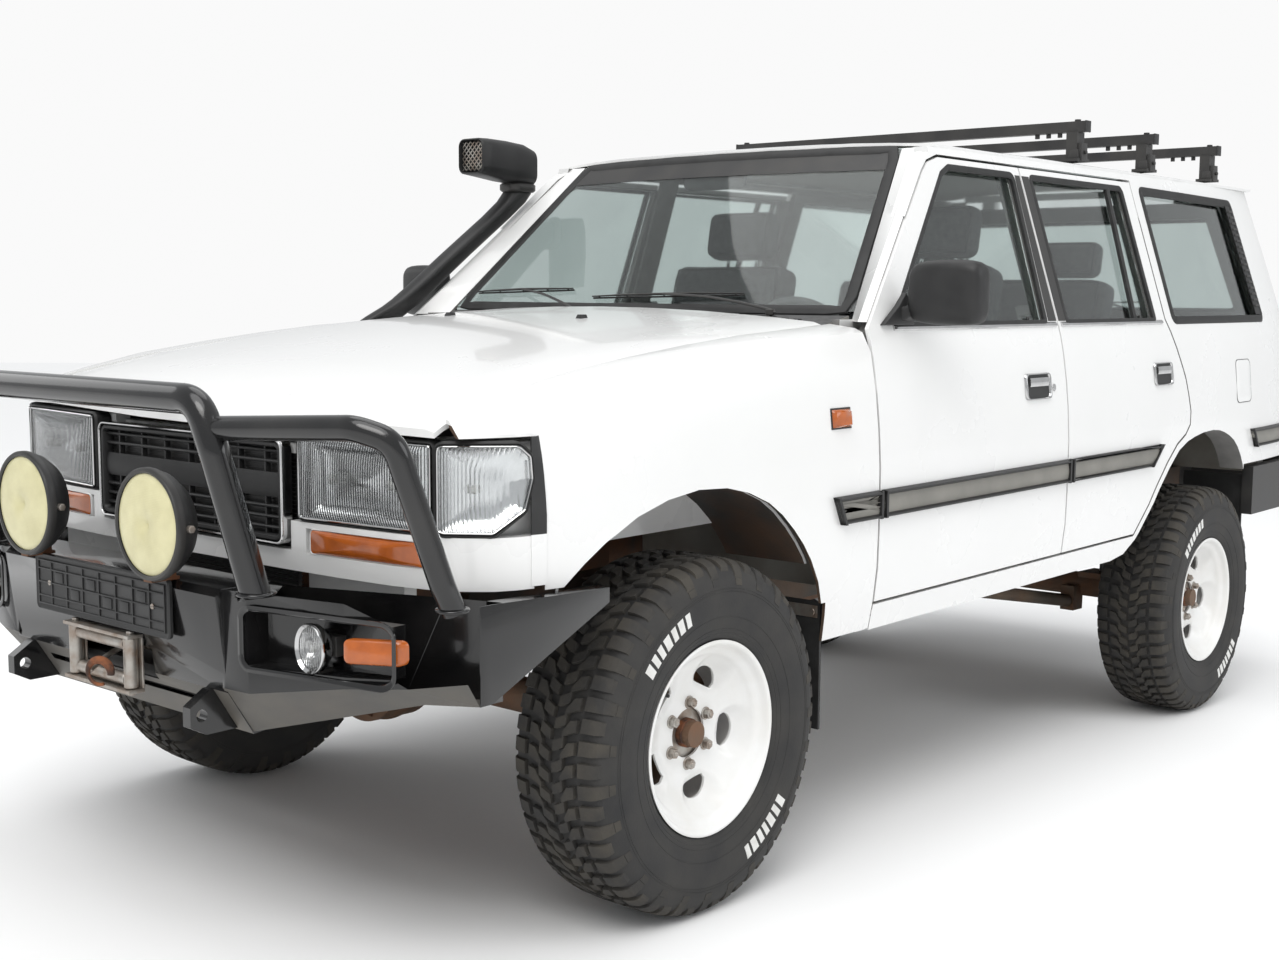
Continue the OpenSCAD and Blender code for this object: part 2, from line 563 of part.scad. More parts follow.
module winch() color("gray") body() one($fn = 20) {
    // drum between its motor and its gearbox
    translate([-128, winch_y, 655]) rotate([0, 90, 0]) cylinder(d = 96, h = 256);
    translate([-276, winch_y, 655]) rotate([0, 90, 0]) cylinder(d = 126, h = 148, $fn = 32);
    translate([128, winch_y, 655]) rotate([0, 90, 0]) cylinder(d = 134, h = 130, $fn = 32);
    slab([-276, winch_y - 50, 548.3], [258, winch_y + 50, 594]);
    // roller fairlead on the bar's face
    translate([0, -9.6, 0]) {
        for (z = [572, 648]) translate([-92, -914, z]) rotate([0, 90, 0]) cylinder(d = 24, h = 184);
        for (x = [-106, 106]) translate([x, -914, 556]) cylinder(d = 26, h = 108);
        for (z = [548, 663]) slab([-126, -930, z], [126, -898, z + 8]);
        for (s = [-1, 1]) slab([s * 92 - 4, -922, 556], [s * 92 + 4, -898, 664]);
        difference() {
            slab([-126, -906, 556], [126, -898, 664]);
            slab([-90, -930, 586], [90, -880, 634]);
        }
    }
    // rope end and hook
    pipe([[0, -850, 632], [0, -905, 612], [42, -984, 593]], 12, $fn = 10);
    translate([66, -975, 592]) rotate([90, 0, 30]) rotate_extrude(angle = 300, $fn = 20) translate([26, 0]) circle(d = 16, $fn = 8);
}
module driving_lamps() color("black") body() both() translate([lamp_x, 0, 917]) {
    translate([0, -940, 0]) rotate([90, 0, 0]) cylinder(d = lamp_d, h = 26);
    translate([0, -940, 0]) rotate([-90, 0, 0]) cylinder(d1 = lamp_d - 6, d2 = 130, h = 74);
    // foot on the bumper
    slab([-16, -912, bar_top + 0.3 - 917], [16, -876, -90]);
}

// ---- snorkel, bars, rear, trim ----
// block of the snorkel at a height, from x0 to x1 and y0 to y1
module sn(z, x0, x1, y0, y1, h = 8) slab([x0, y0, z], [x1, y1, z + h]);
module snorkel() color("black") body() mirror([1, 0, 0]) one() {
    // body on the wing, riser along the post and the ram head
    hull() { sn(1112, wing_side(1112, 500) + 0.9, 926, 330, 600); sn(1225, 884, 926, 430, 640); }
    hull() { sn(1225, 884, 926, 430, 640); sn(1286, 874, 922, 520, 664); }
    hull() { sn(1286, 874, 922, 520, 664); sn(1306, 838, 912, 556, 684); }
    hull() { sn(1306, 838, 912, 556, 684); sn(1340, 806, 872, 602, 712); }
    hull() { sn(1340, 806, 872, 602, 712); sn(1690, 690, 762, 1004, 1104); }
    hull() { sn(1690, 690, 762, 1004, 1104); sn(1732, 686, 764, 978, 1090); }
    // ram head, open to the front
    difference() {
        union() {
            hull() { sn(1730, 676, 770, 930, 1084); sn(1760, 662, 776, 846, 1092, 90); }
            hull() { sn(1760, 662, 776, 846, 1092, 90); sn(1852, 674, 764, 900, 1070); }
        }
        slab([672, 800, 1766], [766, 880, 1842]);
    }
}
module roof_bars() color("black") body() for (y = bar_ys) {
    slab([-bar_half, y - bar_s / 2, bar_z - bar_s], [bar_half, y + bar_s / 2, bar_z]);
    for (m = [0, 1]) mirror([m, 0, 0]) {
        slab([rail_x - 58, y - 26, roof_h(rail_x - 64, y) + 9], [rail_x - 20, y + 26, bar_z - bar_s]);
        slab([rail_x - 64, y - 42, roof_h(rail_x - 64, y) + 0.3], [rail_x - 8, y + 42, roof_h(rail_x - 64, y) + 10]);
    }
}
module rear_bumper() color("dimgray") body() {
    one() {
        difference() {
            union() {
                hull() {
                    slab([-700, 3840, 569], [700, rear_reach, 752]);
                    slab([-900, 3700, 572], [900, 3800, 752]);
                }
                both() slab([866, 3284, 572], [half_w + 2, 3800, 752]);
            }
            slab([-850, 3200, 500], [850, 3826, 800]);
        }
        // brackets to the frame
        both() slab([rail_in, 3700.3, 600], [rail_in + rail_w, 3840, 690]);
    }
    // tow receiver under the bumper with its cross pin hole
    difference() {
        slab([-38, 3700, 492.7], [38, rear_reach - 6, 568.7]);
        slab([-26, 3760, 504.7], [26, rear_reach + 10, 556.7]);
        translate([-60, rear_reach - 60, 530.7]) rotate([0, 90, 0]) cylinder(r = tow_pin_hole / 2, h = 120);
    }
}
module tail_lamps() color("red") body() both() one() intersection() {
    translate([0, 5, 0]) wall_part(3690, tail_y, 800, 1130, 0, 2);
    slab([gate_x(950) + 20, tail_y - 3.7, 800], [900, tail_y + 12, 1130]);
}
module mud_flaps() color("black") body() {
    both() slab([650, 482, 318], [872.5, 490, 636]);
    both() slab([640, 3292, 250], [865.7, 3300, 720]);
}
module mirror_glass_case() one() {
    hull() {
        slab([884, 838, 1318], [900, 912, 1460]);
        slab([1050, 862, 1312], [1078, 922, 1466]);
        slab([960, 826, 1326], [1020, 912, 1458]);
    }
    hull() {
        slab([856.3, 830, 1306], [870, 880, 1350]);
        slab([900, 850, 1330], [912, 890, 1360]);
    }
    // sail plate in the window's front corner
    yz(856, 866) polygon([[742, win_low + 2], [900, win_low + 2], [880, win_low + 60], [830, win_low + 60]]);
}
module mirror_left() color("black") body() mirror_glass_case();
module mirror_right() color("black") body() mirror([1, 0, 0]) mirror_glass_case();

// ---- tail ----
module liftgate() color("white") body() one() {
    difference() {
        intersection() {
            tail_slab(0, 52, [900, 0, -900], gate_mid + clear, gate_top);
            xz(3500, 3900) gate_line(gate_mid, gate_top, 0);
        }
        xz(3500, 3900) gate_window(0);
    }
    difference() {
        intersection() {
            tail_slab(44, 60, [900, 0, -900], gate_mid + clear + 14, gate_top - 14);
            xz(3500, 3900) gate_line(gate_mid, gate_top, -16);
        }
        xz(3500, 3900) gate_window(0);
    }
}
module gate_window(m) polygon([[-gate_x(1320) + 60 - m, 1320 - m], [gate_x(1320) - 60 + m, 1320 - m],
    [gate_x(1690) - 56 + m, 1690 + m], [-gate_x(1690) + 56 - m, 1690 + m]]);
module liftgate_glass() color("gray") body() one() intersection() {
    tail_slab(12, 12 + glass_t, [900, 0, -900], gate_mid, gate_top);
    xz(3500, 3900) gate_window(-0.3);
}
module tailgate() color("white") body() one() {
    intersection() {
        tail_slab(0, 12, [900, 0, -900], gate_low, gate_mid - clear);
        xz(3500, 3900) gate_line(gate_low, gate_mid, 0);
    }
    intersection() {
        tail_slab(11, 58, [900, 0, -900], gate_low, gate_mid - clear - 16);
        xz(3500, 3900) gate_line(gate_low, gate_mid, -16);
    }
}

// ---- floor, bulkhead and inner arches ----
module body_tub() color("white") body() one() {
    // floor and tunnel, raised over the rear axle
    difference() {
        slab([-tub_x + 18, 600, 652], [tub_x - 18, 2180, 662]);
        slab([-210, 590, 600], [210, 1240, 700]);
    }
    both() slab([210, 592, 652], [218, 1248, 812]);
    slab([-218, 592, 804], [218, 1248, 812]);
    slab([-218, 1240, 652], [218, 1248, 812]);
    slab([-tub_x + 18, 2172, 652], [tub_x - 18, 2180, 858]);
    slab([-600, 2172, 850], [600, 3690, 860]);
    both() slab([590, 2440, 850], [600, 3260, 1000]);
    both() slab([590, 2440, 990], [tub_x - 8, 3260, 1000]);
    both() slab([tub_x - 10, 2690, 990], [tub_x, 3260, 1000]);
    both() slab([600, 2172, 850], [tub_x - 8, 2300, 860]);
    both() slab([600, 3262, 850], [tub_x - 28, 3690, 860]);
    both() slab([600, 3256, 850], [tub_x - 2, 3266, 1000]);
    // bulkhead, cowl and scuttle
    difference() {
        slab([-tub_x + 28, 592, 652], [tub_x - 28, 602, 1250]);
        slab([-210, 580, 600], [210, 610, 804]);
    }
    cowl();
    // rear sill under the tailgate
    slab([-760, 3690, 690], [760, 3735, gate_low - 6]);
    slab([-gate_x(700) - gap + 0.4, 3730, 690], [gate_x(700) + gap - 0.4, tail_y - 8, gate_low - 6]);
    both() slab([480, 3700, gate_low - 10], [540, tail_y - 10, gate_low - 0.3]);
    slab([-tub_x + 28, 3682, 690], [tub_x - 28, 3692, 860]);
    // body mounts on the frame
    for (y = [720, 1500, 2100]) both() translate([460, y, 640]) cylinder(d = 70, h = 20, $fn = 24);
}
module cowl() {
    us = [-1, -0.85, -0.6, -0.3, 0, 0.3, 0.6, 0.85, 1];
    a = [for (u = us) let(x = u * 736) [[x, bonnet_back + gap, bon_h(x, 655) - 10],
        [x, ws_low[1] - 8 - ws_bow * (1 - u * u) - 0, ws_low[2] - 10]]];
    grid_solid(a, [for (r = a) [for (p = r) p - [0, 0, 10]]]);
    slab([-736, 595, 1240], [736, bonnet_back + 20, 1282]);
    slab([-736, bonnet_back + gap - 1, 1240.5], [736, bonnet_back + 19.5, 1294]);
    both() slab([560, 596, 1150], [736, 670, 1281.5]);
    // hinge blocks under the bonnet's frame
    both() slab([628, 560, bon_h(660, 530) - 50], [652, 604, bon_h(660, 530) - 35.7]);
}

// ---- frame ----
rail_in = 392;
rail_w = 68;
module ladder_frame() color("black") body() {
    one() {
        both() {
            hull() { slab([rail_in, -640, 560], [rail_in + rail_w, -630, 650]); slab([rail_in, -420, 560], [rail_in + rail_w, -410, 650]); }
            hull() { slab([rail_in, -420, 560], [rail_in + rail_w, -410, 650]); slab([rail_in, -260, 612], [rail_in + rail_w, -250, 700]); }
            hull() { slab([rail_in, -260, 612], [rail_in + rail_w, -250, 700]); slab([rail_in, 300, 612], [rail_in + rail_w, 310, 700]); }
            hull() { slab([rail_in, 300, 612], [rail_in + rail_w, 310, 700]); slab([rail_in, 640, 520], [rail_in + rail_w, 650, 638]); }
            hull() { slab([rail_in, 640, 520], [rail_in + rail_w, 650, 638]); slab([rail_in, 2180, 520], [rail_in + rail_w, 2190, 638]); }
            hull() { slab([rail_in, 2180, 520], [rail_in + rail_w, 2190, 638]); slab([rail_in, 2500, 690], [rail_in + rail_w, 2510, 790]); }
            hull() { slab([rail_in, 2500, 690], [rail_in + rail_w, 2510, 790]); slab([rail_in, 3160, 690], [rail_in + rail_w, 3170, 790]); }
            hull() { slab([rail_in, 3160, 690], [rail_in + rail_w, 3170, 790]); slab([rail_in, 3500, 600], [rail_in + rail_w, 3510, 690]); }
            hull() { slab([rail_in, 3500, 600], [rail_in + rail_w, 3510, 690]); slab([rail_in, 3690, 600], [rail_in + rail_w, 3700, 690]); }
            // engine mounts and brackets of the arms
            slab([240.3, -60, 640], [rail_in + 4, 20, 680]);
            slab([404, 1530, 436], [456, 1604, 521]);
            slab([404, 920, 436], [456, 994, 521]);
            // spring seats
            slab([rail_in + rail_w - 4, -70, 690], [592, 70, 700]);
            slab([rail_in + rail_w - 4, wheelbase - 70, 740], [592, wheelbase + 70, 750]);
        }
        // brackets of the sideways rods
        slab([rail_in, -200, 490], [rail_in + 48, -140, 613]);
        slab([rail_in, 3010, 500], [rail_in + 48, 3078, 691]);
        for (y = [-600, 1250, 1900, 2330, 3420]) let(z = y < 0 ? 575 : y < 2000 ? 545 : y < 3000 ? 650 : 640)
            slab([-rail_in - 4, y, z], [rail_in + 4, y + 70, z + 60]);
    }
}

// ---- axles, wheels ----
module axle_tubes(y, arm) {
    translate([-wheel_x + arm, y, tyre_r]) rotate([0, 90, 0]) cylinder(d = axle_tube_d, h = track - 2 * arm);
    translate([-diff_off, y, tyre_r]) {
        rotate([0, 90, 0]) cylinder(d1 = 200, d2 = 296, h = 90, center = true);
        rotate([90, 0, 0]) cylinder(d = 300, h = 130, center = true);
    }
}
module front_axle() color("black") car() {
    // housing ends in a ball and a fork for the knuckle
    axle_tubes(0, 250);
    slab([-500, -190, tyre_r], [-460, -30, tyre_r + 62]);
    translate([-diff_off, 60, tyre_r]) rotate([-90, 0, 0]) cylinder(d1 = 190, d2 = 90, h = 150);
    for (m = [0, 1]) mirror([m, 0, 0]) {
        translate([pivot_x, 0, tyre_r]) sphere(d = 150);
        translate([pivot_x - 160, 0, tyre_r]) rotate([0, 90, 0]) cylinder(d1 = axle_tube_d, d2 = 130, h = 110);
        // spring perch
        slab([455, -70, tyre_r + 36], [590, 70, tyre_r + 54]);
        slab([404, 20, tyre_r - 60], [456, 96, tyre_r + 10]);
        slab([440, -34, tyre_r], [560, 34, tyre_r + 40]);
    }
}
stub_len = 68;
stub_d = 59;
spring_x = 526;
module knuckle() {
    difference() {
        union() {
            translate([pivot_x, 0, tyre_r]) rotate([0, 90, 0]) cylinder(d = 190, h = 60);
            for (s = [-1, 1]) slab([pivot_x - 36, -35, tyre_r + s * 96 - 12], [pivot_x + 40, 35, tyre_r + s * 96 + 12]);
            translate([pivot_x + 58, 0, tyre_r]) rotate([0, 90, 0]) cylinder(d = stub_d, h = pivot_in - 58 + stub_len);
            // brake disc, caliper and steering arm
            translate([pivot_x + 59, 0, tyre_r]) rotate([0, 90, 0]) cylinder(d = 300, h = 22);
            slab([pivot_x - 60, -35, tyre_r - 108], [pivot_x - 30, 200, tyre_r - 84]);
            slab([pivot_x + 20, -150, tyre_r - 50], [pivot_x + 96, -92, tyre_r + 60]);
        }
        translate([pivot_x, 0, tyre_r]) sphere(d = 151);
    }
}
module knuckle_left() color("gray") car() knuckle();
module knuckle_right() color("gray") car() mirror([1, 0, 0]) knuckle();
module rear_axle() color("black") car() {
    axle_tubes(wheelbase, 150);
    slab([-500, wheelbase + 30, tyre_r - 20], [-460, wheelbase + 196, tyre_r + 42]);
    translate([-diff_off, wheelbase - 210, tyre_r]) rotate([-90, 0, 0]) cylinder(d1 = 90, d2 = 190, h = 150);
    for (m = [0, 1]) mirror([m, 0, 0]) {
        translate([wheel_x - 152, wheelbase, tyre_r]) rotate([0, 90, 0]) cylinder(d = 300, h = 34);
        translate([wheel_x - 120, wheelbase, tyre_r]) rotate([0, 90, 0]) cylinder(d = stub_d, h = 120 + stub_len);
        slab([455, wheelbase - 70, tyre_r + 40], [590, wheelbase + 70, tyre_r + 54]);
        slab([404, wheelbase - 96, tyre_r - 90], [456, wheelbase - 20, tyre_r]);
        slab([288, wheelbase - 90, tyre_r + 20], [332, wheelbase - 20, tyre_r + 132]);
        slab([440, wheelbase - 34, tyre_r], [560, wheelbase + 34, tyre_r + 44]);
    }
}
// wheels are drawn about their own axis, with the outer face towards +X
module tyre() rotate([0, 90, 0]) rotate_extrude($fn = 96) {
    fr = rim_flange_d / 2;
    half = [[fr - 17, 101.5], [fr + 1, 106], [fr + 1, 116], [fr + 42, tyre_w / 2 - 4], [fr + 84, tyre_w / 2],
        [tyre_r - 44, tyre_w / 2 - 4], [tyre_r - 16, tyre_w / 2 - 14], [tyre_r - 3, tyre_w / 2 - 30], [tyre_r, 50]];
    inner = [[tyre_r - 18, 50], [tyre_r - 22, 92], [tyre_r - 48, 112], [fr + 80, 119], [fr + 36, 112], [fr - 12, 92]];
    sc = rim_w / 228;
    polygon(concat([for (p = half) [p[0], p[1] * (p[1] < 117 ? sc : 1)]],
        [for (i = [len(half) - 1:-1:0]) [half[i][0], -half[i][1] * (half[i][1] < 117 ? sc : 1)]],
        [for (i = [len(inner) - 1:-1:0]) [inner[i][0], -inner[i][1]]], [for (p = inner) p]));
}
module rim() {
    difference() {
        union() {
            rotate([0, 90, 0]) rotate_extrude($fn = 96)
                polygon([[rim_flange_d / 2, -rim_w / 2], [rim_flange_d / 2, -rim_w / 2 + 7], [rim_barrel_d / 2 + 16, -rim_w / 2 + 12],
                    [rim_barrel_d / 2, -rim_w / 2 + 40], [rim_barrel_d / 2, rim_w / 2 - 40], [rim_barrel_d / 2 + 16, rim_w / 2 - 12],
                    [rim_flange_d / 2, rim_w / 2 - 7], [rim_flange_d / 2, rim_w / 2], [rim_flange_d / 2 - 8, rim_w / 2],
                    [rim_barrel_d / 2, rim_w / 2 - 22], [rim_barrel_d / 2 - 8, rim_w / 2 - 44], [rim_barrel_d / 2 - 8, -rim_w / 2 + 42],
                    [rim_barrel_d / 2 + 8, -rim_w / 2 + 14], [rim_flange_d / 2 - 8, -rim_w / 2]]);
            // dished disc
            rotate([0, 90, 0]) rotate_extrude($fn = 96)
                polygon([[52, 30], [104, 36], [150, 60], [rim_barrel_d / 2 - 5, 62], [rim_barrel_d / 2 - 5, 74], [146, 72],
                    [100, 48], [52, 42]]);
        }
        for (k = [0:rim_windows - 1]) rotate([k * 360 / rim_windows + 18, 0, 0])
            translate([0, 0, 138]) rotate([0, 90, 0]) linear_extrude(height = 100)
                polygon([[-30, -12], [-26, -26], [24, -6], [24, 20], [-26, 12]]);
    }
    // hub with its flange and cap
    rotate([0, 90, 0]) rotate_extrude($fn = 48) polygon([[30, 22], [84, 22], [84, 36], [54, 42], [54, 96], [44, 110], [0, 110], [0, 72], [30, 72]]);
    for (k = [0:stud_n - 1]) rotate([k * 360 / stud_n, 0, 0]) translate([40, 0, stud_pcd / 2]) rotate([0, 90, 0])
        cylinder(d = 20, h = 22, $fn = 6);
}
module tyre_front_left() color("black") car() translate([wheel_x, 0, tyre_r]) tyre();
module tyre_front_right() color("black") car() mirror([1, 0, 0]) translate([wheel_x, 0, tyre_r]) tyre();
module tyre_rear_left() color("black") car() translate([wheel_x, wheelbase, tyre_r]) tyre();
module tyre_rear_right() color("black") car() mirror([1, 0, 0]) translate([wheel_x, wheelbase, tyre_r]) tyre();
module rim_front_left() color("white") car() translate([wheel_x, 0, tyre_r]) rim();
module rim_front_right() color("white") car() mirror([1, 0, 0]) translate([wheel_x, 0, tyre_r]) rim();
module rim_rear_left() color("white") car() translate([wheel_x, wheelbase, tyre_r]) rim();
module rim_rear_right() color("white") car() mirror([1, 0, 0]) translate([wheel_x, wheelbase, tyre_r]) rim();

// ---- suspension and drive ----
module suspension_links() color("black") car() {
    one() {
        both() {
            // leading arms, rear trailing arms
            rod([430, 100, tyre_r - 24], [430, 900, 505], 46);
            rod([430, wheelbase - 101, tyre_r - 54], [430, 1592, 530], 46);
            rod([310, wheelbase - 94, tyre_r + 106], [310, 1953.8, 650], 36);
        }
        // sideways rods
        rod([-457.5, -170, tyre_r + 40], [389.6, -170, 530], 34);
        rod([-455.5, wheelbase + 175, tyre_r + 20], [386, wheelbase + 175, 640], 34);
    }
}
// helical spring with its damper inside, standing between two seats
module coil(y, z0, z1, x) {
    turns = 5;
    n = turns * 10;
    sides = 5;
    r = 8;
    translate([x, y, z0]) {
        polyhedron([for (k = [0:n]) for (a = [0:sides - 1]) let(t = k * 36, q = 52 + r * cos(a * 72))
                [q * cos(t), q * sin(t), r * 0.95 + k / n * (z1 - z0 - 1.9 * r) + r * sin(a * 72)]],
            concat([for (k = [0:n - 1]) for (a = [0:sides - 1]) let(b = (a + 1) % sides)
                    for (q = tri([k * sides + a, k * sides + b, (k + 1) * sides + b, (k + 1) * sides + a])) [q[0], q[1], q[2]]],
                [[for (a = [0:sides - 1]) sides - 1 - a], [for (a = [0:sides - 1]) n * sides + a]]), convexity = 10);
        cylinder(d = 34, h = z1 - z0);
    }
}
module coil_springs() color("gray") car() for (m = [0, 1]) mirror([m, 0, 0]) {
    coil(0, tyre_r + 54.3, 686, spring_x);
    coil(wheelbase, tyre_r + 54.3, 828, spring_x);
}
module engine_block() color("gray") body() slab([-240, -480, 560], [240, 420, 1120]);
module drive_train() color("gray") body() {
    hull() {
        translate([0, 420.3, 680]) rotate([-90, 0, 0]) cylinder(d = 230, h = 160);
        translate([0, 1040, 640]) rotate([-90, 0, 0]) cylinder(d = 170, h = 10);
    }
    slab([-200, 1050, 520], [110, 1200, 720]);
}
module fuel_tank() color("black") body() slab([-300, 3200, 560], [300, 3410, 849.7]);
module exhaust() color("gray") body() one($fn = 14) {
    // hangers to the frame rail
    pipe([[252, 1400, 470], [330, 1400, 560], [rail_in - 0.3, 1400, 560]], 12);
    pipe([[276, 2900, 644], [340, 2900, 730], [rail_in - 0.3, 2900, 730]], 12);
    pipe([[300, 300, 560], [310, 900, 470], [240, 1500, 470], [240, 2100, 500], [240, 2420, 600], [240, 2800, 640],
        [330, 3050, 650], [560, 3560, 520]], 56);
}

// ---- cabin ----
module dashboard() color("dimgray") body() one() {
    hull() {
        slab([-730, 690, 1240], [730, 760, 1262]);
        slab([-730, 700, 1100], [730, 1010, 1190]);
        slab([-730, 760, 1200], [730, 1000, 1240]);
    }
    slab([-130, 720, 812.3], [130, 960, 1120]);
    // column shroud
    rod([steer_c[0], 940, 1101], [steer_c[0], steer_c[1] + 122 * sin(steer_tilt), steer_c[2] - 122 * cos(steer_tilt)], 60);
}
steer_c = [380, 1130, 1190];
steer_tilt = -65;
module steering_wheel() color("black") body() translate(steer_c) rotate([steer_tilt, 0, 0]) {
    rotate_extrude($fn = 64) translate([185, 0]) circle(d = 30);
    cylinder(d = 96, h = 36, center = true);
    for (a = [0, 180, 270]) rotate([0, 0, a]) slab([40, -14, -8], [184, 14, 6]);
    translate([0, 0, -121]) cylinder(d = 44, h = 115);
}
// seat with its base on a floor at height zf, cushion from zc up
module seat(x, y, w, zf, zc, tall) {
    one() {
        hull() {
            slab([x - w / 2, y, zc], [x + w / 2, y + 460, zc + 130]);
            slab([x - w / 2 + 20, y + 10, zc + 135], [x + w / 2 - 20, y + 440, zc + 150]);
        }
        hull() {
            slab([x - w / 2 + 20, y + 440, zc + 80], [x + w / 2 - 20, y + 560, zc + 140]);
            slab([x - w / 2 + 40, y + 600, zc + tall - 10], [x + w / 2 - 40, y + 680, zc + tall]);
        }
        slab([x - w / 2 + 100, y + 40, zf], [x + w / 2 - 100, y + 440, zc + 10]);
        // posts of the head restraints
        if (w < 700) for (s = [-1, 1]) slab([x + s * 50 - 8, y + 632, zc + tall - 20], [x + s * 50 + 8, y + 648, zc + tall + 40]);
    }
}
module seats() color("tan") body() {
    for (s = [-1, 1]) {
        seat(s * 390, 1180, 500, 662.3, 822, 640);
        one() hull() {
            slab([s * 390 - 130, 1790, 1502.3], [s * 390 + 130, 1850, 1510]);
            slab([s * 390 - 120, 1800, 1650], [s * 390 + 120, 1870, 1660]);
        }
    }
    seat(0, 2120, 1160, 860.3, 880, 560);
}

ladder_frame();
body_tub();
body_sides();
roof_panel();
front_wings();
front_panel();
bonnet();
front_door_left();
front_door_right();
rear_door_left();
rear_door_right();
front_glass_left();
front_glass_right();
rear_glass_left();
rear_glass_right();
liftgate();
liftgate_glass();
tailgate();
fixed_glass();
grille();
front_lamps();
bull_bar();
recovery_plates();
winch();
driving_lamps();
snorkel();
roof_bars();
rear_bumper();
tail_lamps();
mud_flaps();
mirror_left();
mirror_right();
front_axle();
rear_axle();
knuckle_left();
knuckle_right();
tyre_front_left();
tyre_front_right();
tyre_rear_left();
tyre_rear_right();
rim_front_left();
rim_front_right();
rim_rear_left();
rim_rear_right();
suspension_links();
coil_springs();
engine_block();
drive_train();
fuel_tank();
exhaust();
dashboard();
steering_wheel();
seats();
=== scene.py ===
"""Looks of the lifted off-road estate car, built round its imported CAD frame."""

import json
import math
from functools import partial
from math import cos, hypot, pi, radians, sin

import bmesh
import bpy
from mathutils import Matrix, Vector
from mathutils.bvhtree import BVHTree


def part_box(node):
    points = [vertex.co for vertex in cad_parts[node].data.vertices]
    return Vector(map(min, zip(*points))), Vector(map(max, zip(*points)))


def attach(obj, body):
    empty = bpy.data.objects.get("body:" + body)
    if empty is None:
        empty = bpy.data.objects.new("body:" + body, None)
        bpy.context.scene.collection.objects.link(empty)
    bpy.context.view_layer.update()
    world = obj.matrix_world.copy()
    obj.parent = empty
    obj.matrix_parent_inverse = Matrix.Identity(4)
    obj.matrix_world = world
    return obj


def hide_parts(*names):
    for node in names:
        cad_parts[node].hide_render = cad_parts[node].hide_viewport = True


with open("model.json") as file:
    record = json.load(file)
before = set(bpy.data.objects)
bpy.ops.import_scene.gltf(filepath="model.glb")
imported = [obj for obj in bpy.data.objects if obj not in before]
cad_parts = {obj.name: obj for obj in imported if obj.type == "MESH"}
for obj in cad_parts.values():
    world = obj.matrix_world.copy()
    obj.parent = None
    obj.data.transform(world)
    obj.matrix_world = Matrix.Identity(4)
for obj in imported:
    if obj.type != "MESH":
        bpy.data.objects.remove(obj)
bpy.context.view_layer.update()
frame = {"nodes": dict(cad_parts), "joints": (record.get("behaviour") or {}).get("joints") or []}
NODES = frame["nodes"]
JOINTS = {j["name"]: j for j in frame["joints"]}

# ---- spaces: everything is written in millimetres, y back from the front axle ----
AXLE_Y = JOINTS["steer_left"]["pos_m"][1]
REAR_Y = JOINTS["wheel_rear_left_spin"]["pos_m"][1]
WHEEL_X = JOINTS["wheel_front_left_spin"]["pos_m"][0]
WHEEL_Z = JOINTS["wheel_front_left_spin"]["pos_m"][2]
UP = Vector(JOINTS["front_door_right_hinge"]["axis"])
RAKE = math.atan2(-UP.y, UP.z)
MM = Matrix.Scale(0.001, 4)
BODY = Matrix.Translation((0, AXLE_Y, 0)) @ Matrix.Rotation(RAKE, 4, "X") @ MM
MIRROR = Matrix.Diagonal((-1, 1, 1, 1))
SIDES = (1, -1)
SIDE_NAME = {1: "left", -1: "right"}


def shift(x, y, z):
    """Matrix that moves by x, y and z."""
    return Matrix.Translation((x, y, z))


def new_object(name, data):
    """An object in the scene."""
    obj = bpy.data.objects.new(name, data)
    bpy.context.scene.collection.objects.link(obj)
    return obj


def flip(side):
    """Matrix that mirrors a left-hand piece to the right when side is -1."""
    return Matrix.Identity(4) if side > 0 else MIRROR


# ---- materials ----
def feed(m, node, **inputs):
    """Sets a node's inputs: each is a value, or the socket to link it to."""
    for key, value in inputs.items():
        socket = node.inputs[key.replace("_", " ")]
        if isinstance(value, bpy.types.NodeSocket):
            m.node_tree.links.new(value, socket)
        else:
            socket.default_value = value


def node_new(m, kind, **inputs):
    """A new shader node with its inputs."""
    node = m.node_tree.nodes.new("ShaderNode" + kind)
    feed(m, node, **inputs)
    return node


def math_of(m, operation, a, b):
    """Output of a maths node over two sockets."""
    node = m.node_tree.nodes.new("ShaderNodeMath")
    node.operation = operation
    m.node_tree.links.new(a, node.inputs[0])
    m.node_tree.links.new(b, node.inputs[1])
    return node.outputs[0]


def surface_of(m):
    """A material's surface node."""
    return m.node_tree.nodes["Principled BSDF"]


def place_of(m):
    """The object coordinates that a material already reads."""
    return next(n for n in m.node_tree.nodes if n.bl_idname == "ShaderNodeTexCoord").outputs["Object"]


def shader(name, color, rough=0.5, metal=0.0, coat=0.0, glass=0.0, other=None, share=0.5, scale=5.0, sharp=0.25,
           bump=0.0, grain=250.0, depth=0.001, rough_spread=0.08):
    """Principled material with a second colour in noise patches, uneven roughness and a fine bump."""
    m = bpy.data.materials.new(name)
    m.use_nodes = True
    where = node_new(m, "TexCoord").outputs["Object"]
    patches = node_new(m, "TexNoise", Scale=scale, Detail=6.0, Vector=where).outputs["Fac"]
    ramp = node_new(m, "ValToRGB", Fac=patches)
    low, high = ramp.color_ramp.elements
    low.position, high.position = max(0.0, share - sharp), min(1.0, share + sharp)
    low.color = (*color, 1)
    high.color = (*(other or [c * 0.93 for c in color]), 1)
    spread = node_new(m, "MapRange", Value=patches, To_Min=max(0.02, rough - rough_spread),
                      To_Max=min(1.0, rough + rough_spread))
    feed(m, surface_of(m), Base_Color=ramp.outputs["Color"], Roughness=spread.outputs["Result"], Metallic=metal,
         Coat_Weight=coat, Coat_Roughness=0.06, Transmission_Weight=glass, IOR=1.45)
    if bump:
        fine = node_new(m, "TexNoise", Scale=grain, Detail=4.0, Vector=where)
        relief = node_new(m, "Bump", Strength=bump, Distance=depth, Height=fine.outputs["Fac"])
        feed(m, surface_of(m), Normal=relief.outputs["Normal"])
    return m


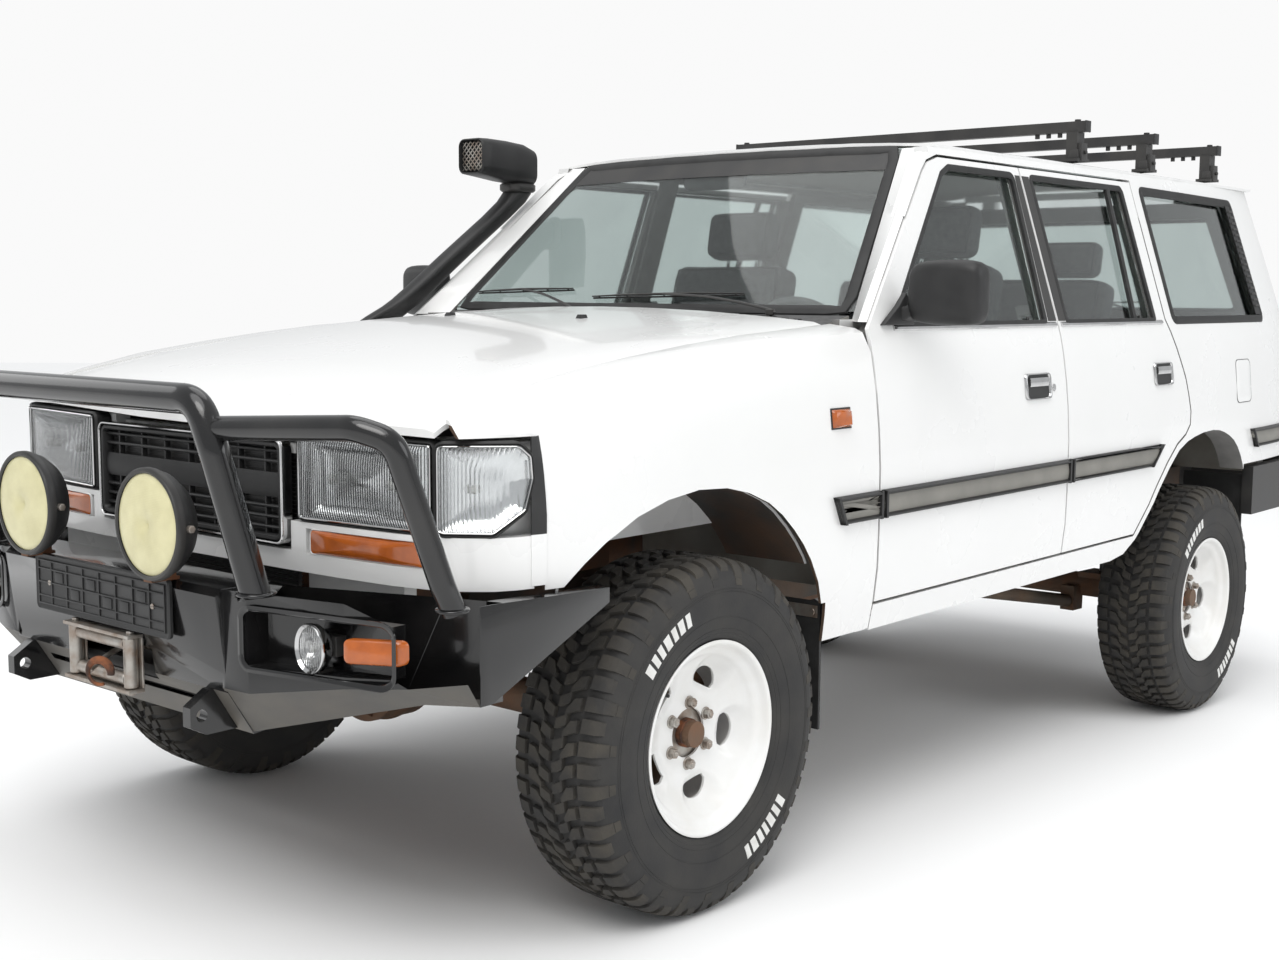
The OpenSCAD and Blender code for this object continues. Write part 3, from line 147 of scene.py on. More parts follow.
def weave(m, scale, strength, depth=0.0012, axes=("X", "Z")):
    """Adds waves to a material's bump: crossed for cloth and mesh covers, along one axis for lens ribs."""
    heights = []
    for axis in axes:
        wave = node_new(m, "TexWave", Scale=scale, Vector=place_of(m))
        wave.bands_direction = axis
        heights.append(wave.outputs["Fac"])
    height = math_of(m, "MAXIMUM", *heights) if len(heights) == 2 else heights[0]
    relief = node_new(m, "Bump", Strength=strength, Distance=depth, Height=height)
    feed(m, surface_of(m), Normal=relief.outputs["Normal"])
    return m


def dirty_below(m, color, low, high, most=0.7):
    """Mixes dust into a material from height high down to height low, in metres."""
    split = node_new(m, "SeparateXYZ", Vector=place_of(m))
    fade = node_new(m, "MapRange", From_Min=high, From_Max=low, To_Max=most, Value=split.outputs["Z"])
    speck = node_new(m, "TexNoise", Scale=9.0, Detail=8.0, Vector=place_of(m))
    share = math_of(m, "MULTIPLY", fade.outputs["Result"], speck.outputs["Fac"])
    clean = surface_of(m).inputs["Base Color"].links[0].from_socket
    mix = m.node_tree.nodes.new("ShaderNodeMix")
    mix.data_type = "RGBA"
    feed(m, mix, Factor=share, A=clean, B=(*color, 1))
    feed(m, surface_of(m), Base_Color=mix.outputs["Result"])
    return m


DUST = (0.22, 0.18, 0.13)
WHITE = shader("white_paint", (0.80, 0.80, 0.795), 0.28, coat=0.6, other=(0.775, 0.775, 0.765), scale=2.5,
               bump=0.06, grain=420, rough_spread=0.04)
INNER = dirty_below(shader("inner_paint", (0.42, 0.42, 0.40), 0.6, other=(0.25, 0.23, 0.20), scale=6, bump=0.2),
                    DUST, 0.5, 1.0)
GLOSS = shader("black_powder_coat", (0.006, 0.006, 0.0065), 0.15, coat=0.4, other=(0.022, 0.021, 0.02), scale=7,
               share=0.66, bump=0.1, grain=500, rough_spread=0.05)
SATIN = shader("black_satin", (0.022, 0.022, 0.023), 0.45, other=(0.045, 0.043, 0.04), scale=9, bump=0.15,
               grain=600)
PLASTIC = shader("black_plastic", (0.012, 0.012, 0.0125), 0.48, other=(0.026, 0.026, 0.026), scale=14, bump=0.3,
                 grain=900, depth=0.0006)
CHASSIS = dirty_below(shader("chassis_paint", (0.03, 0.028, 0.026), 0.65, other=(0.11, 0.052, 0.025), scale=7,
                             share=0.6, bump=0.5, grain=120), DUST, 0.2, 0.9)
IRON = dirty_below(shader("rusty_iron", (0.085, 0.06, 0.045), 0.75, metal=0.25, other=(0.20, 0.075, 0.03),
                          scale=16, share=0.52, bump=0.7, grain=160), DUST, 0.2, 0.8)
RUST = shader("hub_rust", (0.055, 0.03, 0.022), 0.85, other=(0.24, 0.085, 0.035), scale=38, share=0.55,
              sharp=0.12, bump=1.0, grain=240, depth=0.002)
WHEEL = shader("wheel_white", (0.79, 0.79, 0.78), 0.34, coat=0.35, other=(0.70, 0.685, 0.65), scale=9,
               share=0.62, bump=0.15, grain=220)
RUBBER = shader("tyre_rubber", (0.018, 0.018, 0.019), 0.72, other=(0.04, 0.038, 0.035), scale=11, bump=0.45,
                grain=180)
TREAD = shader("tread_rubber", (0.030, 0.029, 0.028), 0.82, other=(0.075, 0.066, 0.052), scale=12, share=0.6,
               bump=0.6, grain=140)
LETTER = shader("raised_white", (0.72, 0.72, 0.70), 0.6, other=(0.5, 0.49, 0.46), scale=30, share=0.68,
                bump=0.3)
SEAL = shader("seal_rubber", (0.012, 0.012, 0.012), 0.6, other=(0.03, 0.03, 0.03), scale=20, bump=0.3)
CHROME = shader("chrome", (0.62, 0.62, 0.62), 0.12, metal=1.0, other=(0.5, 0.5, 0.5), scale=24,
                rough_spread=0.06)
MIRROR_GLASS = shader("mirror_glass", (0.75, 0.77, 0.78), 0.04, metal=1.0, rough_spread=0.01)
STEEL = shader("zinc_steel", (0.42, 0.40, 0.37), 0.42, metal=0.8, other=(0.20, 0.12, 0.07), scale=30, share=0.6,
               bump=0.5, grain=200)
GLASS = shader("tinted_glass", (0.80, 0.87, 0.85), 0.03, glass=1.0, rough_spread=0.01)
LENS = shader("clear_lens", (0.95, 0.96, 0.96), 0.05, glass=1.0, rough_spread=0.01)
RIBBED = weave(shader("ribbed_lens", (0.93, 0.94, 0.94), 0.08, glass=1.0, rough_spread=0.02), 48, 0.5, 0.002,
               "X")
AMBER = shader("amber_lens", (0.50, 0.12, 0.015), 0.22, coat=0.6, other=(0.34, 0.075, 0.01), scale=30)
RED = shader("red_lens", (0.45, 0.01, 0.01), 0.2, coat=0.6, other=(0.33, 0.01, 0.01), scale=25)
REFLECTOR = shader("lamp_reflector", (0.80, 0.81, 0.82), 0.16, metal=1.0, rough_spread=0.05)
BULB = shader("frosted_bulb", (0.8, 0.8, 0.78), 0.4)
COVER = weave(shader("lamp_cover", (0.70, 0.66, 0.40), 0.42, coat=0.3, other=(0.54, 0.50, 0.28), scale=18,
                     share=0.52), 95, 0.35, 0.001)
MOULDING = shader("moulding_grey", (0.235, 0.225, 0.20), 0.5, other=(0.17, 0.165, 0.15), scale=9, bump=0.15)
BUMPER = dirty_below(shader("bumper_grey", (0.055, 0.058, 0.062), 0.55, other=(0.10, 0.098, 0.09), scale=8,
                            bump=0.3), DUST, 0.4, 0.9, 0.5)
CABIN = shader("cabin_plastic", (0.10, 0.10, 0.102), 0.62, other=(0.14, 0.14, 0.14), scale=30, bump=0.5,
               grain=700)
CARD = shader("door_card", (0.24, 0.235, 0.225), 0.7, other=(0.18, 0.175, 0.17), scale=20, bump=0.4, grain=500)
CARPET = shader("carpet", (0.11, 0.11, 0.11), 0.95, other=(0.07, 0.07, 0.07), scale=60, bump=1.0, grain=900)
LINING = shader("head_lining", (0.50, 0.49, 0.46), 0.9, other=(0.44, 0.43, 0.41), scale=40, bump=0.4, grain=800)
CLOTH = weave(shader("seat_cloth", (0.115, 0.115, 0.12), 0.92, other=(0.07, 0.07, 0.075), scale=60), 330, 0.6,
              0.0012)
PIPING = shader("seat_piping", (0.05, 0.05, 0.052), 0.8, bump=0.4, grain=900)
EXHAUST = shader("exhaust_steel", (0.12, 0.09, 0.07), 0.7, metal=0.5, other=(0.22, 0.10, 0.05), scale=18,
                 bump=0.6)


# ---- mesh helpers ----
def finish_mesh(obj, mat, body, bevel, sub, smooth, angle):
    """Gives a mesh object its materials, modifiers and body."""
    for m in mat if isinstance(mat, (list, tuple)) else [mat]:
        obj.data.materials.append(m)
    if bevel:
        mod = obj.modifiers.new("bevel", "BEVEL")
        mod.width = bevel * 0.001
        mod.segments = 3
        mod.limit_method = "ANGLE"
        mod.angle_limit = radians(30)
    if sub:
        mod = obj.modifiers.new("sub", "SUBSURF")
        mod.levels = mod.render_levels = sub
    if smooth:
        obj.data.polygons.foreach_set("use_smooth", [True] * len(obj.data.polygons))
        if angle:
            mod = obj.modifiers.new("split", "EDGE_SPLIT")
            mod.split_angle = radians(angle)
    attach(obj, body)
    return obj


def piece(name, verts, faces, mat, body="body", space=BODY, side=1, bevel=0, sub=0, smooth=True, angle=35,
          slot=None, thick=0, closed=True, stands_for=None):
    """A mesh object from points in millimetres in a space, mirrored to the right when side is -1."""
    mesh = bpy.data.meshes.new(name)
    mesh.from_pydata([Vector(v) for v in verts], [], faces)
    mesh.transform(space @ flip(side) if space is not None else MM @ flip(side))
    bm = bmesh.new()
    bm.from_mesh(mesh)
    bmesh.ops.remove_doubles(bm, verts=bm.verts, dist=1e-6)
    if closed and not thick:
        bmesh.ops.recalc_face_normals(bm, faces=bm.faces)
    bm.to_mesh(mesh)
    bm.free()
    obj = new_object(name, mesh)
    if thick:
        mod = obj.modifiers.new("thick", "SOLIDIFY")
        mod.thickness = thick * 0.001
        mod.offset = 0
    if stands_for:
        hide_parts(stands_for)
    return finish_mesh(obj, mat, body, bevel, sub, smooth, angle)


def named_side(stem, side):
    """A body's or node's name; a stem that ends in _ gets the side's name."""
    return stem + SIDE_NAME[side] if stem and stem.endswith("_") else stem


def both_sides(name, part, mat, body="body", stands_for=None, **opts):
    """A left-hand piece and its mirror; body and stands_for may be stems of names."""
    for side in SIDES:
        piece(name + "_" + SIDE_NAME[side], *part, mat, body=named_side(body, side), side=side,
              stands_for=named_side(stands_for, side), **opts)


def merge(*parts):
    """One list of points and faces out of several."""
    verts, faces = [], []
    for v, f in parts:
        n = len(verts)
        verts += [tuple(p) for p in v]
        faces += [tuple(i + n for i in q) for q in f]
    return verts, faces


def moved(part, matrix):
    """Points and faces with the points moved."""
    return [matrix @ Vector(v) for v in part[0]], part[1]


def block(lo, hi, taper=0.0):
    """Box between two corners; taper pulls the upper side in."""
    (x0, y0, z0), (x1, y1, z1) = lo, hi
    t = taper
    v = [(x0, y0, z0), (x1, y0, z0), (x1, y1, z0), (x0, y1, z0),
         (x0 + t, y0 + t, z1), (x1 - t, y0 + t, z1), (x1 - t, y1 - t, z1), (x0 + t, y1 - t, z1)]
    return v, [(0, 3, 2, 1), (4, 5, 6, 7), (0, 1, 5, 4), (1, 2, 6, 5), (2, 3, 7, 6), (3, 0, 4, 7)]


def grid(rows, close_u=False, close_v=False, caps=False):
    """Quads over rows of equal length."""
    n, m = len(rows), len(rows[0])
    verts = [tuple(p) for r in rows for p in r]
    faces = []
    for i in range(n if close_u else n - 1):
        for j in range(m if close_v else m - 1):
            a, b = i * m + j, i * m + (j + 1) % m
            c, d = ((i + 1) % n) * m + (j + 1) % m, ((i + 1) % n) * m + j
            faces.append((a, b, c, d))
    if caps and close_v:
        faces.append(tuple(reversed(range(m))))
        faces.append(tuple((n - 1) * m + j for j in range(m)))
    return verts, faces


def loft(rows):
    """Closed rings of points joined end to end, with both ends capped."""
    return grid(rows, close_v=True, caps=True)


def hoop_of(rows):
    """Closed rings of points joined round to the first."""
    return grid(rows, close_u=True, close_v=True)


def lathe(profile, steps=48, full=True):
    """Turns (along, radius) pairs about the X axis."""
    rows = []
    for k in range(steps):
        a = 2 * pi * k / steps
        rows.append([(x, r * sin(a), r * cos(a)) for x, r in profile])
    return grid(rows, close_u=full)


def disc(x0, x1, radius, steps=32, chamfer=0.0):
    """Short cylinder along X, with chamfered rims."""
    c = chamfer
    return lathe([(x0, 0.01), (x0, radius - c), (x0 + c, radius), (x1 - c, radius), (x1, radius - c),
                  (x1, 0.01)], steps)


def smooth_path(points, per=6):
    """Catmull-Rom points through a list of points."""
    p = [Vector(q) for q in points]
    p = [p[0] * 2 - p[1]] + p + [p[-1] * 2 - p[-2]]
    out = []
    for i in range(1, len(p) - 2):
        for k in range(per):
            t = k / per
            a, b, c, d = p[i - 1], p[i], p[i + 1], p[i + 2]
            out.append(0.5 * (2 * b + (c - a) * t + (2 * a - 5 * b + 4 * c - d) * t * t
                              + (3 * b - a - 3 * c + d) * t * t * t))
    return out + [p[-2]]


def tube(points, radius, sides=12, closed=False, squash=1.0):
    """Tube along points; radius is one number or one for each point."""
    pts = [Vector(p) for p in points]
    n = len(pts)
    radii = radius if isinstance(radius, (list, tuple)) else [radius] * n
    rows, last = [], None
    for i, p in enumerate(pts):
        a = pts[(i - 1) % n] if closed or i else p
        b = pts[(i + 1) % n] if closed or i < n - 1 else p
        d = (b - a).normalized()
        if last is None:
            last = Vector((0, 0, 1)) if abs(d.z) < 0.9 else Vector((1, 0, 0))
        u = (last - d * last.dot(d)).normalized()
        v = d.cross(u)
        last = u
        rows.append([p + (u * cos(t) * squash + v * sin(t)) * radii[i]
                     for t in (2 * pi * k / sides for k in range(sides))])
    return grid(rows, close_u=closed, close_v=True, caps=not closed)


def prism(outline, x0, x1, inset=0.0):
    """Outline in y and z drawn out along x; inset shrinks the far end about its middle."""
    n = len(outline)
    cy = sum(p[0] for p in outline) / n
    cz = sum(p[1] for p in outline) / n

    def pull(p):
        d = hypot(p[0] - cy, p[1] - cz) or 1
        k = (d - inset) / d
        return cy + (p[0] - cy) * k, cz + (p[1] - cz) * k
    far = [pull(p) for p in outline]
    verts = [(x0, *p) for p in outline] + [(x1, *p) for p in far]
    faces = [tuple(range(n)), tuple(reversed(range(n, 2 * n)))]
    faces += [(i, (i + 1) % n, (i + 1) % n + n, i + n) for i in range(n)]
    return verts, faces


def rounded(w, h, r, steps=5):
    """Outline of a rounded rectangle about the origin."""
    out = []
    for cx, cy, a0 in ((w / 2 - r, h / 2 - r, 0), (-w / 2 + r, h / 2 - r, 90), (-w / 2 + r, -h / 2 + r, 180),
                       (w / 2 - r, -h / 2 + r, 270)):
        for k in range(steps + 1):
            a = radians(a0 + 90 * k / steps)
            out.append((cx + r * cos(a), cy + r * sin(a)))
    return out


def lerp(x, table):
    """Straight-line interpolation in a list of (x, value) pairs."""
    if x <= table[0][0]:
        return table[0][1]
    for (a, u), (b, v) in zip(table, table[1:]):
        if x <= b:
            return u + (v - u) * (x - a) / (b - a)
    return table[-1][1]


# ---- the CAD skin: pieces that lie on the body find its surface by a ray from outside ----
def tree_of(names):
    """Tree for rays against some CAD nodes, in body millimetres."""
    verts, polys = [], []
    for n in names:
        base = len(verts)
        mesh = NODES[n].data
        inverse = BODY.inverted()
        verts += [inverse @ v.co for v in mesh.vertices]
        polys += [tuple(base + i for i in p.vertices) for p in mesh.polygons]
    return BVHTree.FromPolygons(verts, polys)


SIDE_TREE = tree_of(["front_door_left", "rear_door_left", "body_sides", "front_wings"])
TOP_TREE = tree_of(["bonnet", "roof_panel", "front_wings", "body_tub"])


def skin_x(y, z, reach=7):
    """x of the left side's outer face; a ray that falls in a shut gap takes its neighbour's hit."""
    best = 0
    for dy in (0, -reach, reach):
        for dz in (0, reach):
            hit = SIDE_TREE.ray_cast(Vector((1300, y + dy, z + dz)), Vector((-1, 0, 0)))[0]
            if hit is not None:
                best = max(best, hit.x)
    return best


def skin_z(x, y):
    """z of the upper skin, or 0 beside it."""
    hit = TOP_TREE.ray_cast(Vector((x, y, 2600)), Vector((0, 0, -1)))[0]
    return hit.z if hit is not None else 0


def on_side(points, out, back=3.0, hold=-9999):
    """Closed form on the left side over rows of (y, z, height off the skin); no y under hold is used."""
    face = [[(skin_x(max(y, hold), z) + h * out, y, z) for y, z, h in row] for row in points]
    rear = [[(skin_x(max(y, hold), z) - back, y, z) for y, z, h in row] for row in points]
    return slab(face, rear)


def slab(face, rear):
    """Closed form between two sheets of points."""
    n, m = len(face), len(face[0])
    va, fa = grid(face)
    vb, fb = grid(rear)
    k = n * m
    rim = []
    for i in range(n - 1):
        rim.append((i * m, (i + 1) * m, k + (i + 1) * m, k + i * m))
        rim.append(((i + 1) * m - 1, (i + 2) * m - 1, k + (i + 2) * m - 1, k + (i + 1) * m - 1))
    for j in range(m - 1):
        rim.append((j, j + 1, k + j + 1, k + j))
        rim.append(((n - 1) * m + j, (n - 1) * m + j + 1, k + (n - 1) * m + j + 1, k + (n - 1) * m + j))
    return va + vb, fa + [tuple(i + k for i in q) for q in fb] + rim


def dense(path, step=40, closed=False):
    """A path with points no further apart than step."""
    out = []
    pts = list(path) + ([path[0]] if closed else [])
    for a, b in zip(pts, pts[1:]):
        n = max(1, int(math.dist(a, b) / step))
        out += [tuple(p + (q - p) * k / n for p, q in zip(a, b)) for k in range(n)]
    return out + ([] if closed else [tuple(pts[-1])])


# ---- CAD nodes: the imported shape, shaded smooth, with its own looks ----
DOORS = ["front_door_left", "front_door_right", "rear_door_left", "rear_door_right"]
LOOKS = {name: mat for mat, names in (
    (CHASSIS, ["ladder_frame", "suspension_links", "fuel_tank"]), (INNER, ["body_tub"]),
    (WHITE, ["body_sides", "roof_panel", "front_wings", "front_panel", "bonnet", "liftgate", "tailgate",
             *DOORS]),
    (GLASS, ["fixed_glass", "front_glass_left", "front_glass_right", "rear_glass_left", "rear_glass_right",
             "liftgate_glass"]), (GLOSS, ["bull_bar", "recovery_plates"]),
    (SATIN, ["winch", "roof_bars", "rear_bumper", "coil_springs"]), (SEAL, ["mud_flaps"]),
    (IRON, ["front_axle", "rear_axle", "knuckle_left", "knuckle_right", "engine_block", "drive_train"]),
    (EXHAUST, ["exhaust"]), (CABIN, ["dashboard", "steering_wheel"]),
    (RED, ["tail_lamps"])) for name in names}
INSIDE = {name: mat for mat, names in (
    (CARD, [*DOORS, "liftgate", "tailgate", "body_sides"]), (LINING, ["roof_panel"]),
    (CHASSIS, ["front_wings", "front_panel"]), (INNER, ["bonnet"]), (CARPET, ["body_tub"])) for name in names}
TO_BODY = BODY.inverted()


def inner_face(name, c, n):
    """Whether a face of a body panel looks into the cabin, an arch or the engine bay."""
    side = 1 if c.x > 0 else -1
    depth = skin_x(c.y, c.z) - abs(c.x)
    if name == "body_sides" and (c.z > 1290 and c.y < 1400 and (n.y < -0.2 or n.z > 0.3)
                                 or c.y > 3600 and n.y > 0.3):
        return False
    if "door" in name or name == "body_sides":
        return depth > 14 and n.x * side < 0.5
    if name == "roof_panel":
        return n.z < -0.3 and abs(c.x) < 640
    if name == "liftgate":
        return n.y < -0.25 or depth > 40 and n.y < 0.2 and c.y < 3700
    if name == "tailgate":
        return n.y < -0.3 or n.z > 0.6
    if name == "bonnet":
        return n.z < -0.2
    if name == "front_wings":
        return n.x * side < 0.1 and n.z < 0.5 and c.z < 1130 or n.z < -0.2
    if name == "front_panel":
        return n.y > 0.2
    return name == "body_tub" and abs(c.x) < 800 and n.z > 0.4 and c.y > 640


for name, mat in LOOKS.items():
    obj = NODES[name]
    mesh = obj.data
    if mesh.has_custom_normals:
        mesh.attributes.remove(mesh.attributes["custom_normal"])
    mesh.materials.clear()
    mesh.materials.append(mat)
    if name in INSIDE:
        mesh.materials.append(INSIDE[name])
        turn = TO_BODY.to_3x3().normalized()
        for poly in mesh.polygons:
            poly.material_index = int(inner_face(name, TO_BODY @ poly.center,
                                                 (turn @ poly.normal).normalized()))
    else:
        for poly in mesh.polygons:
            poly.material_index = 0
    mesh.polygons.foreach_set("use_smooth", [True] * len(mesh.polygons))
    mod = obj.modifiers.new("weld", "WELD")
    mod.merge_threshold = 0.00002
    mod = obj.modifiers.new("split", "EDGE_SPLIT")
    mod.split_angle = radians(27)


# ---- wheels: a radial off-road tyre on a white steel rim ----
CARCASS = [(104, 214), (116, 228), (124, 250), (131, 285), (133.3, 310), (132, 335), (127, 357), (119, 373),
           (109, 384), (90, 389.5), (50, 391), (0, 391.5)]
CROWN = [(0, 401.7), (55, 401.4), (84, 399.5), (100, 396.5), (112, 390), (122, 378), (129, 362)]
PITCHES = 54


def carcass_r(x):
    """Radius of the casing under the tread."""
    return lerp(abs(x), [(p[0], p[1]) for p in reversed(CARCASS[5:])])


def sidewall_x(r):
    """Half width of the casing at a radius."""
    return lerp(r, [(p[1], p[0]) for p in CARCASS[:9]])


def lug(rows, chamfer=1.2, sink=1.5):
    """Tread block from rows of (x, start, end) with the arc in degrees."""
    low, top = [], []
    for i, (x, a0, a1) in enumerate(rows):
        rc = carcass_r(x) - sink
        rt = lerp(abs(x), CROWN)
        c = math.degrees(chamfer / rt)
        edge = chamfer if i == 0 else -chamfer if i == len(rows) - 1 else 0
        edge = edge if rows[-1][0] > rows[0][0] else -edge
        for a, row, r, dx, da in ((a0, low, rc, 0, 0), (a1, low, rc, 0, 0), (a0, top, rt, edge, c),
                                  (a1, top, rt, edge, -c)):
            t = radians(a + da)
            row.append((x + dx, r * sin(t), r * cos(t)))
    n = len(rows)
    verts = low + top
    faces = []
    for i in range(n - 1):
        a, b, c, d = 2 * i, 2 * i + 1, 2 * i + 3, 2 * i + 2
        faces += [(a, b, c, d), (2 * n + a, 2 * n + b, 2 * n + c, 2 * n + d),
                  (a, d, 2 * n + d, 2 * n + a), (b, c, 2 * n + c, 2 * n + b)]
    faces += [(0, 1, 2 * n + 1, 2 * n), (2 * n - 2, 2 * n - 1, 4 * n - 1, 4 * n - 2)]
    return verts, faces


def tread():
    """Centre, middle and shoulder lugs, every other shoulder lug with a pad on the sidewall."""
    parts = []
    p = 360 / PITCHES
    for k in range(PITCHES):
        a = k * p
        wide = k % 2
        for s in (1, -1):
            o = a + (0 if s > 0 else p / 2)
            parts.append(lug([(s * 3, o, o + p * 0.50), (s * 20, o + p * 0.10, o + p * 0.66),
                              (s * 34, o + p * 0.26, o + p * 0.80)]))
            parts.append(lug([(s * 26, o - p * 0.30, o - p * 0.02), (s * 44, o - p * 0.12, o + p * 0.52),
                              (s * 64, o + p * 0.02, o + p * 0.62)]))
            end = 126 if wide else 119
            parts.append(lug([(s * 74, o + p * 0.04, o + p * 0.74), (s * 90, o + p * 0.06, o + p * 0.76),
                              (s * 104, o + p * 0.06, o + p * 0.76), (s * 114, o + p * 0.08, o + p * 0.76),
                              (s * end, o + p * 0.10, o + p * 0.74)]))
            if wide:
                parts.append(side_pad(s, o + p * 0.12, o + p * 0.70, 344, 360))
    return merge(*parts)


def side_pad(s, a0, a1, r0, r1, lift=1.6, sink=1.5):
    """Raised pad on a sidewall between two radii."""
    pts = []
    for h, c in ((-sink, 0), (lift, 0.7)):
        for r, sgn_r in ((r0, 1), (r1, -1)):
            for a, sgn in ((a0, 1), (a1, -1)):
                rr = r + sgn_r * c
                t = radians(a) + sgn * c / rr
                pts.append((s * (sidewall_x(rr) + h), rr * sin(t), rr * cos(t)))
    return pts, [(0, 1, 3, 2), (4, 5, 7, 6), (0, 1, 5, 4), (1, 3, 7, 5), (3, 2, 6, 7), (2, 0, 4, 6)]


def raised_blocks():
    """Plain raised white blocks in two arcs on the outer sidewall."""
    parts = []
    for middle, widths in ((-38, (22, 17, 17, 22, 17, 20, 17)), (142, (20, 17, 22, 15, 17, 22, 17))):
        total = sum(widths) + 7 * (len(widths) - 1)
        at = -total / 2
        for w in widths:
            a0 = middle + math.degrees(at / 305)
            a1 = middle + math.degrees((at + w) / 305)
            parts.append(side_pad(1, a0, a1, 288, 322, 1.1))
            at += w + 7
    return merge(*parts)


def sidewall_rings():
    """Fine mould rings and the bead band on both sidewalls."""
    parts = []
    for s in (1, -1):
        for r, w, h in ((236, 1.6, 1.1), (246, 1.0, 0.9), (274, 1.2, 1.0), (331, 1.4, 1.1), (337, 0.9, 0.8)):
            parts.append(lathe([(s * (sidewall_x(r - w) - 1), r - w), (s * (sidewall_x(r) + h), r - w * 0.4),
                                (s * (sidewall_x(r) + h), r + w * 0.4), (s * (sidewall_x(r + w) - 1), r + w)],
                               120))
    return merge(*parts)


def tyre_body():
    """Hollow casing."""
    half = [(x, r) for x, r in CARCASS]
    loop = half + [(-x, r) for x, r in reversed(half[:-1])]
    loop += [(-98, 210), (-96, 222), (-112, 260), (-118, 320), (-96, 368), (0, 376), (96, 368), (118, 320),
             (112, 260), (96, 222), (98, 210)]
    loop = smooth_profile(loop)
    return hoop_of([[(x, r * sin(a), r * cos(a)) for x, r in loop]
                 for a in (2 * pi * k / 144 for k in range(144))])


def smooth_profile(points):
    """Adds mid points by a spline on the outer part of a closed tyre section."""
    n = 2 * len(CARCASS) - 1
    outer = smooth_path([(x, r, 0) for x, r in points[:n]], 3)
    return [(p.x, p.y) for p in outer] + points[n:]


DISH = [(186, 88), (180, 80), (170, 72), (155, 64), (140, 57), (124, 50), (108, 45.5), (94, 44), (56, 44)]


def rim_face(r, a):
    """Depth of the rim's dished face, with five scoops that sink towards their openings."""
    x = lerp(r, sorted(DISH))
    for k in range(5):
        d = (a - SCOOPS[k] + pi) % (2 * pi) - pi
        across = abs(d) * r / (48 + (r - 108) * 0.34)
        along = (r - 144) / 46
        w = across * across * across + along * along
        if w < 1:
            x -= 19 * (1 - w) ** 1.3
    return x


SCOOPS = [radians(24 + 72 * k) for k in range(5)]


def rim_shell():
    """Steel wheel: lip, well, dished face with scoops, flat hub seat and barrel."""
    steps = 150
    radii = [186, 183, 180, 176, 172, 167, 162, 157, 152, 147, 142, 137, 132, 127, 122, 117, 112, 107, 102, 96,
             88, 78, 66, 56]
    lip = [(110, 213), (113, 219.5), (115.5, 220), (117, 217), (116.5, 213), (113, 209), (106, 206), (100, 203),
           (96, 198), (93, 191)]
    rows = []
    for k in range(steps):
        a = 2 * pi * k / steps
        line = [(-108, 213), (-112, 219.5), (-115, 219), (-115, 213), (-108, 205), (-84, 203), (-70, 187),
                (40, 182), (58, 182)]
        back = [(rim_face(r, a) - 6, r) for r in reversed(radii[3:])]
        front = [(rim_face(r, a), r) for r in radii]
        outer = [(-108, 213)] + [(-70, 193), (60, 193), (86, 205), (104, 213)]
        loop = lip + front + back + list(reversed(line[1:])) + outer
        rows.append([(x, r * sin(a), r * cos(a)) for x, r in loop])
    return hoop_of(rows)


def cutters():
    """Openings at the inner ends of the scoops, the star hole and the valve hole."""
    parts = []
    for a in SCOOPS:
        outline = []
        for k in range(25):
            t = k / 24
            y = 39 * cos(pi * t)
            outline.append((y, 118 + 38 * sin(pi * t) ** 0.8))
        outline = [(-33, 113)] + [(33, 113)] + outline[1:-1]
        turn = Matrix.Rotation(-a, 4, "X")
        parts.append(moved(prism(outline, 10, 110), turn))
    star = []
    for k in range(72):
        t = 2 * pi * k / 72
        star.append(((47 + 6.5 * cos(6 * t)) * sin(t), (47 + 6.5 * cos(6 * t)) * cos(t)))
    parts.append(prism(star, 0, 110))
    valve = [(6 * cos(t), 176 + 6 * sin(t)) for t in (2 * pi * k / 16 for k in range(16))]
    parts.append(moved(prism(valve, 40, 110), Matrix.Rotation(radians(50), 4, "X")))
    return merge(*parts)


def cut_mesh(base, tool):
    """Mesh of one solid less another."""
    objs = []
    for n, part in (("base", base), ("tool", tool)):
        mesh = bpy.data.meshes.new(n)
        mesh.from_pydata([Vector(v) for v in part[0]], [], part[1])
        bm = bmesh.new()
        bm.from_mesh(mesh)
        bmesh.ops.recalc_face_normals(bm, faces=bm.faces)
        bm.to_mesh(mesh)
        bm.free()
        objs.append(new_object(n, mesh))
    mod = objs[0].modifiers.new("cut", "BOOLEAN")
    mod.operation = "DIFFERENCE"
    mod.object = objs[1]
    mod.solver = "EXACT"
    got = bpy.data.meshes.new_from_object(objs[0].evaluated_get(bpy.context.evaluated_depsgraph_get()))
    out = [tuple(v.co) for v in got.vertices], [tuple(p.vertices) for p in got.polygons]
    for o in objs:
        bpy.data.objects.remove(o)
    return out


def hex_nut(x0, x1, radius, y, z, turn=0.0):
    """Six-sided nut along X."""
    pts = [(y + radius * cos(radians(60 * k) + turn), z + radius * sin(radians(60 * k) + turn))
           for k in range(6)]
    return prism(pts, x0, x1)


def dome(x0, height, radius, y, z, steps=16):
    """Rounded stud end."""
    part = lathe([(0, 0.01)] + [(0, radius)] + [(height * sin(t), radius * cos(t))
                 for t in (pi / 2 * k / 5 for k in range(1, 5))] + [(height, 0.01)], steps)
    return moved(part, shift(x0, y, z))


